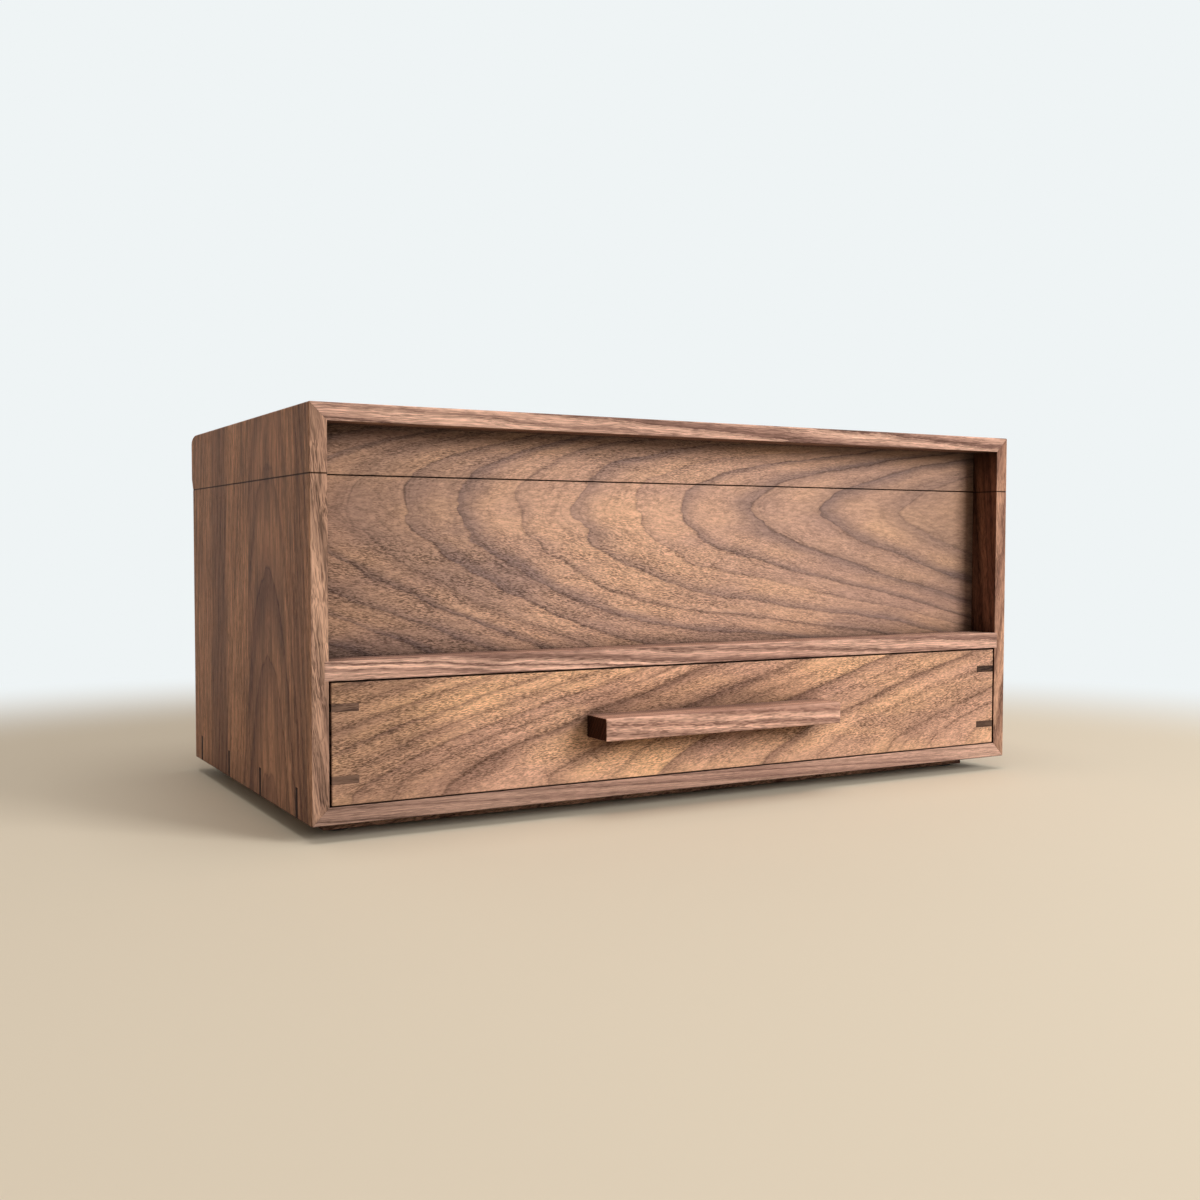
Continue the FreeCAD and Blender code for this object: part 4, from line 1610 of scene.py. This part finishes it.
@dataclass
class Drawer(SubAssembly):
    """The drawer: keyed boards, bottom, felt, and a bar handle held by two screws.

    Attributes:
        front_figure: The front's growth rings, in millimetres.
        side_figure: The sides' growth rings.
        back_figure: The back's growth rings.
        bottom_figure: The bottom's growth rings.
        handle_figure: The handle's growth rings.
        lining: The felt.
    """

    front_figure: Figure = Figure(
        -3.0, -20.0, 0.0, 0.25,
        rings=(
            Ring(-180.8, 0.6, 0.4, 0.1), Ring(-150.8, 0.5, 0.4, 0.1), Ring(-120.8, 0.8, 0.5, 0.2),
            Ring(-92.8, 0.4, 0.3, 0.1), Ring(-64.8, 0.7, 0.5, 0.1), Ring(-38.8, 0.6, 0.6, 0.2),
            Ring(-14.8, 0.5, 0.4, 0.1), Ring(5.2, 0.7, 0.4, 0.2), Ring(21.2, 0.6, 0.3, 0.3),
            Ring(41.2, 0.9, 0.9, 0.1), Ring(86.2, 0.7, 0.7, 0.0), Ring(115.2, 0.5, 0.2, 0.1),
            Ring(137.2, 0.7, 0.7, 0.0), Ring(161.2, 0.4, 0.2, 0.2), Ring(190.2, 0.8, 0.8, 0.0),
            Ring(221.2, 0.5, 0.3, 0.3), Ring(261.2, 0.8, 0.5, 0.1), Ring(286.2, 0.7, 0.2, 0.1),
            Ring(308.2, 0.5, 0.2, 0.1), Ring(339.2, 0.4, 0.2, 0.1),
        ),
        wave=1.3, seed=9.0,
    )
    side_figure: Figure = Figure(47.0, -35.9, 0.1, 0.12, run=(56.8, 36.0), wave=1.5, seed=41.0)
    back_figure: Figure = Figure(-27.0, 35.0, 5.0, 0.15, run=(134.1, 34.0), wave=1.5, seed=43.0)
    bottom_figure: Figure = Figure(103.6, -45.5, 4.0, 0.14, run=(124.9, 40.0), wave=2.0, seed=47.0)
    handle_figure: Figure = Figure(28.6, 45.4, 0.4, 0.02, run=(8.4, 90.0), wave=0.5, kink=0.3, seed=67.0)
    lining: FeltSheet = field(default_factory=lambda: FeltSheet("drawer_lining", "drawer", "drawer_bottom"))

    def finishes(self) -> dict[str, Finish]:
        """Give the finish of each board, the keys, the handle and its screws.

        Returns:
            The finish for each solid's name.
        """
        front = Walnut(
            "walnut_drawer_front", Lie.ALONG, "drawer_front", self.front_figure, DRAWER_TONE,
            drift=((0.0, 0.68), (30.0, 0.84), (60.0, 1.0), (328.0, 0.97)),
            follow=1.0,
            flecks=0.62,
            pores=0.9,
        )
        side = Walnut("walnut_drawer_box", Lie.DEEP, "drawer_left_side", self.side_figure, CASE_TONE)
        back = Walnut("walnut_drawer_back", Lie.ALONG, "drawer_back", self.back_figure, CASE_TONE)
        bottom = Walnut(
            "walnut_drawer_bottom", Lie.ALONG_FLAT, "drawer_bottom", self.bottom_figure, CASE_TONE
        )
        handle = Walnut(
            "walnut_handle", Lie.ALONG, "drawer_handle", self.handle_figure, HANDLE_TONE,
            # painted shade on the left end, which turns from the lamps
            painted_face_shade=((-1.0, 0.0, 0.0), (0.28, 0.20, 0.16)),
            stroke=1.3,
            streaks=0.28,
            flecks=0.46,
            pores=0.6,
        )
        return {
            "drawer_front": front,
            "drawer_back": back,
            "drawer_left_side": side,
            "drawer_right_side": side,
            "drawer_bottom": bottom,
            "drawer_front_keys": DRAWER_KEYS,
            "drawer_back_keys": DRAWER_KEYS,
            "drawer_handle": handle,
            "handle_screws": STEEL,
        }

    def build(self) -> None:
        """Dress the drawer and lay its felt."""
        super().build()
        self.lining.build()


# ---------------------------------------------------------------- the studio
@dataclass
class Camera:
    """The camera, placed from the case's front left corner, in millimetres and degrees.

    Attributes:
        aside: How far it stands left of the case's middle.
        before: How far it stands in front of the case's front edges.
        above: How high it stands above the case's underside.
        turned: How far it is turned to the right.
        tilted: How far it looks down.
        rolled: How far it is rolled.
        lens: Its focal length on a 36 mm sensor.
    """

    aside: float = 315.3
    before: float = 468.8
    above: float = 102.7
    turned: float = 29.26
    tilted: float = 2.441
    rolled: float = 0.0893
    lens: float = 40.23

    SENSOR = 36.0
    NEAREST = 0.01  # metres

    def build(self) -> None:
        """Make the camera and look through it."""
        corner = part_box("left_side")[0] / MM
        data = bpy.data.cameras.new("camera")
        data.lens = self.lens
        data.sensor_width = self.SENSOR
        data.clip_start = self.NEAREST
        camera = bpy.data.objects.new("camera", data)
        bpy.context.scene.collection.objects.link(camera)
        turn = Matrix.Rotation(math.radians(-self.turned), 4, "Z")
        tilt = Matrix.Rotation(math.radians(90.0 - self.tilted), 4, "X")
        roll = Matrix.Rotation(math.radians(self.rolled), 4, "Z")
        place = Vector((-self.aside, corner.y - self.before, corner.z + self.above)) * MM
        camera.matrix_world = Matrix.Translation(place) @ turn @ tilt @ roll
        bpy.context.scene.camera = camera


@dataclass(frozen=True)
class Lamp:
    """A square soft light that faces the box.

    Attributes:
        name: Its name.
        side: How far round to the right of the front it stands, in degrees.
        height: How high it stands, in degrees.
        distance: How far away it stands, in metres.
        size: Its width and height, in metres.
        power: Its power, in watts.
        colour: Its colour.
        glossy: Whether gloss shows it.
    """

    name: str
    side: float
    height: float
    distance: float
    size: float
    power: float
    colour: Colour
    glossy: bool = True

    MIDDLE = Vector((0.0, 0.0, 0.07))  # the box's middle, in metres

    def build(self) -> None:
        """Make the lamp and turn it to the box's middle."""
        data = bpy.data.lights.new(self.name, "AREA")
        data.shape = "SQUARE"
        data.size = self.size
        data.energy = self.power
        data.color = self.colour
        lamp = bpy.data.objects.new(self.name, data)
        bpy.context.scene.collection.objects.link(lamp)
        side, height = math.radians(self.side), math.radians(self.height)
        way = Vector(
            (math.sin(side) * math.cos(height), -math.cos(side) * math.cos(height), math.sin(height))
        )
        lamp.location = way * self.distance + self.MIDDLE
        lamp.rotation_mode = "QUATERNION"
        lamp.rotation_quaternion = way.to_track_quat("Z", "Y")
        lamp.visible_camera = False
        lamp.visible_glossy = self.glossy
        LOG.info("studio: %s", self.name)


@dataclass
class Studio:
    """A plain pale floor that fades into the background, and soft studio light.

    Attributes:
        floor_colour: The floor near the box.
        far_colour: The background.
        bounce: How much of the floor's light reaches the box, so that its shadows stay deep.
        floor_reach: The floor's radius, in metres.
        fade_middle: The middle of the part of the floor that is seen.
        fade_start: How far from there the floor starts to fade, in metres.
        fade_end: Where it has become the background.
        sky: The strength of the light from all round.
        sky_colour: The colour of that light.
        lamps: The lamps.
    """

    floor_colour: Colour = chart(227, 215, 193)
    far_colour: Colour = chart(239, 244, 245)
    bounce: float = 0.45
    floor_reach: float = 8.0
    fade_middle: tuple[float, float, float] = (-0.10, -0.175, 0.0)
    fade_start: float = 0.42
    fade_end: float = 0.74
    sky: float = 0.185
    sky_colour: Colour = (1.0, 0.84, 0.70)
    lamps: tuple[Lamp, ...] = (
        Lamp("window", 31.0, 21.0, 1.8, 0.70, 24.8, (1.0, 0.985, 0.975)),
        Lamp("ceiling", 0.0, 80.0, 1.7, 1.2, 13.0, (1.0, 0.985, 0.975)),
        Lamp("wall", -150.0, 12.0, 1.3, 1.1, 3.1, (1.0, 0.85, 0.72), glossy=False),
    )

    FLOOR_SIDES = 96
    FLOOR_ROUGH = 0.75

    def build(self) -> None:
        """Make the floor, the world and the lamps."""
        self.build_floor()
        self.build_world()
        for lamp in self.lamps:
            lamp.build()

    def build_floor(self) -> None:
        """Make the floor: a disc whose far part the camera sees as background."""
        shape = bmesh.new()
        bmesh.ops.create_circle(
            shape, cap_ends=True, segments=self.FLOOR_SIDES, radius=self.floor_reach
        )
        mesh = bpy.data.meshes.new("floor")
        shape.to_mesh(mesh)
        shape.free()
        floor = bpy.data.objects.new("floor", mesh)
        bpy.context.scene.collection.objects.link(floor)
        graph = Graph("floor")
        point = graph.node("TexCoord").outputs["Object"]
        distance = graph.vector("LENGTH", graph.vector("SUBTRACT", point, self.fade_middle))
        fade = graph.slope(distance, self.fade_start, self.fade_end)
        seen = self.seen(graph.tree)
        near = graph.node("BsdfPrincipled")
        near.inputs["Roughness"].default_value = self.FLOOR_ROUGH
        dull = tuple(self.bounce * part for part in self.floor_colour)
        graph.feed(near.inputs["Base Color"], graph.mix(seen, dull, self.floor_colour))
        far = graph.node("Emission")
        far.inputs["Color"].default_value = (*self.far_colour, 1.0)
        blend = graph.node("MixShader")
        graph.feed(blend.inputs[0], graph.math("MULTIPLY", fade, seen))
        graph.feed(blend.inputs[1], near.outputs[0])
        graph.feed(blend.inputs[2], far.outputs[0])
        floor.data.materials.append(graph.finish(blend))

    def build_world(self) -> None:
        """Light from all round, and a pale background where the camera sees past the floor."""
        world = bpy.data.worlds.new("studio")
        world.use_nodes = True
        bpy.context.scene.world = world
        tree = world.node_tree
        tree.nodes.clear()
        ambient = tree.nodes.new("ShaderNodeBackground")
        ambient.inputs["Color"].default_value = (*self.sky_colour, 1.0)
        ambient.inputs["Strength"].default_value = self.sky
        backdrop = tree.nodes.new("ShaderNodeBackground")
        backdrop.inputs["Color"].default_value = (*self.far_colour, 1.0)
        blend = tree.nodes.new("ShaderNodeMixShader")
        tree.links.new(self.seen(tree), blend.inputs[0])
        tree.links.new(ambient.outputs[0], blend.inputs[1])
        tree.links.new(backdrop.outputs[0], blend.inputs[2])
        output = tree.nodes.new("ShaderNodeOutputWorld")
        tree.links.new(blend.outputs[0], output.inputs[0])

    @staticmethod
    def seen(tree: bpy.types.NodeTree) -> bpy.types.NodeSocket:
        """Give 1 for rays from the camera, also by way of gloss or glass, and 0 for light.

        Args:
            tree: The material's or the world's nodes.

        Returns:
            The share of the background that the ray sees.
        """
        path = tree.nodes.new("ShaderNodeLightPath")
        seen = path.outputs["Is Camera Ray"]
        for ray in ("Is Glossy Ray", "Is Transmission Ray"):
            either = tree.nodes.new("ShaderNodeMath")
            either.operation = "MAXIMUM"
            tree.links.new(seen, either.inputs[0])
            tree.links.new(path.outputs[ray], either.inputs[1])
            seen = either.outputs[0]
        return seen


def main() -> None:
    """Build the box and the studio."""
    logging.basicConfig(level=logging.INFO, format="%(name)s %(message)s")
    for group in (Case(), Plinth(), TrayFittings(), Lid(), Hinges(), Drawer()):
        group.build()
    Studio().build()
    Camera().build()
    bpy.context.scene.view_settings.view_transform = "Standard"


if __name__ == "__main__":
    main()
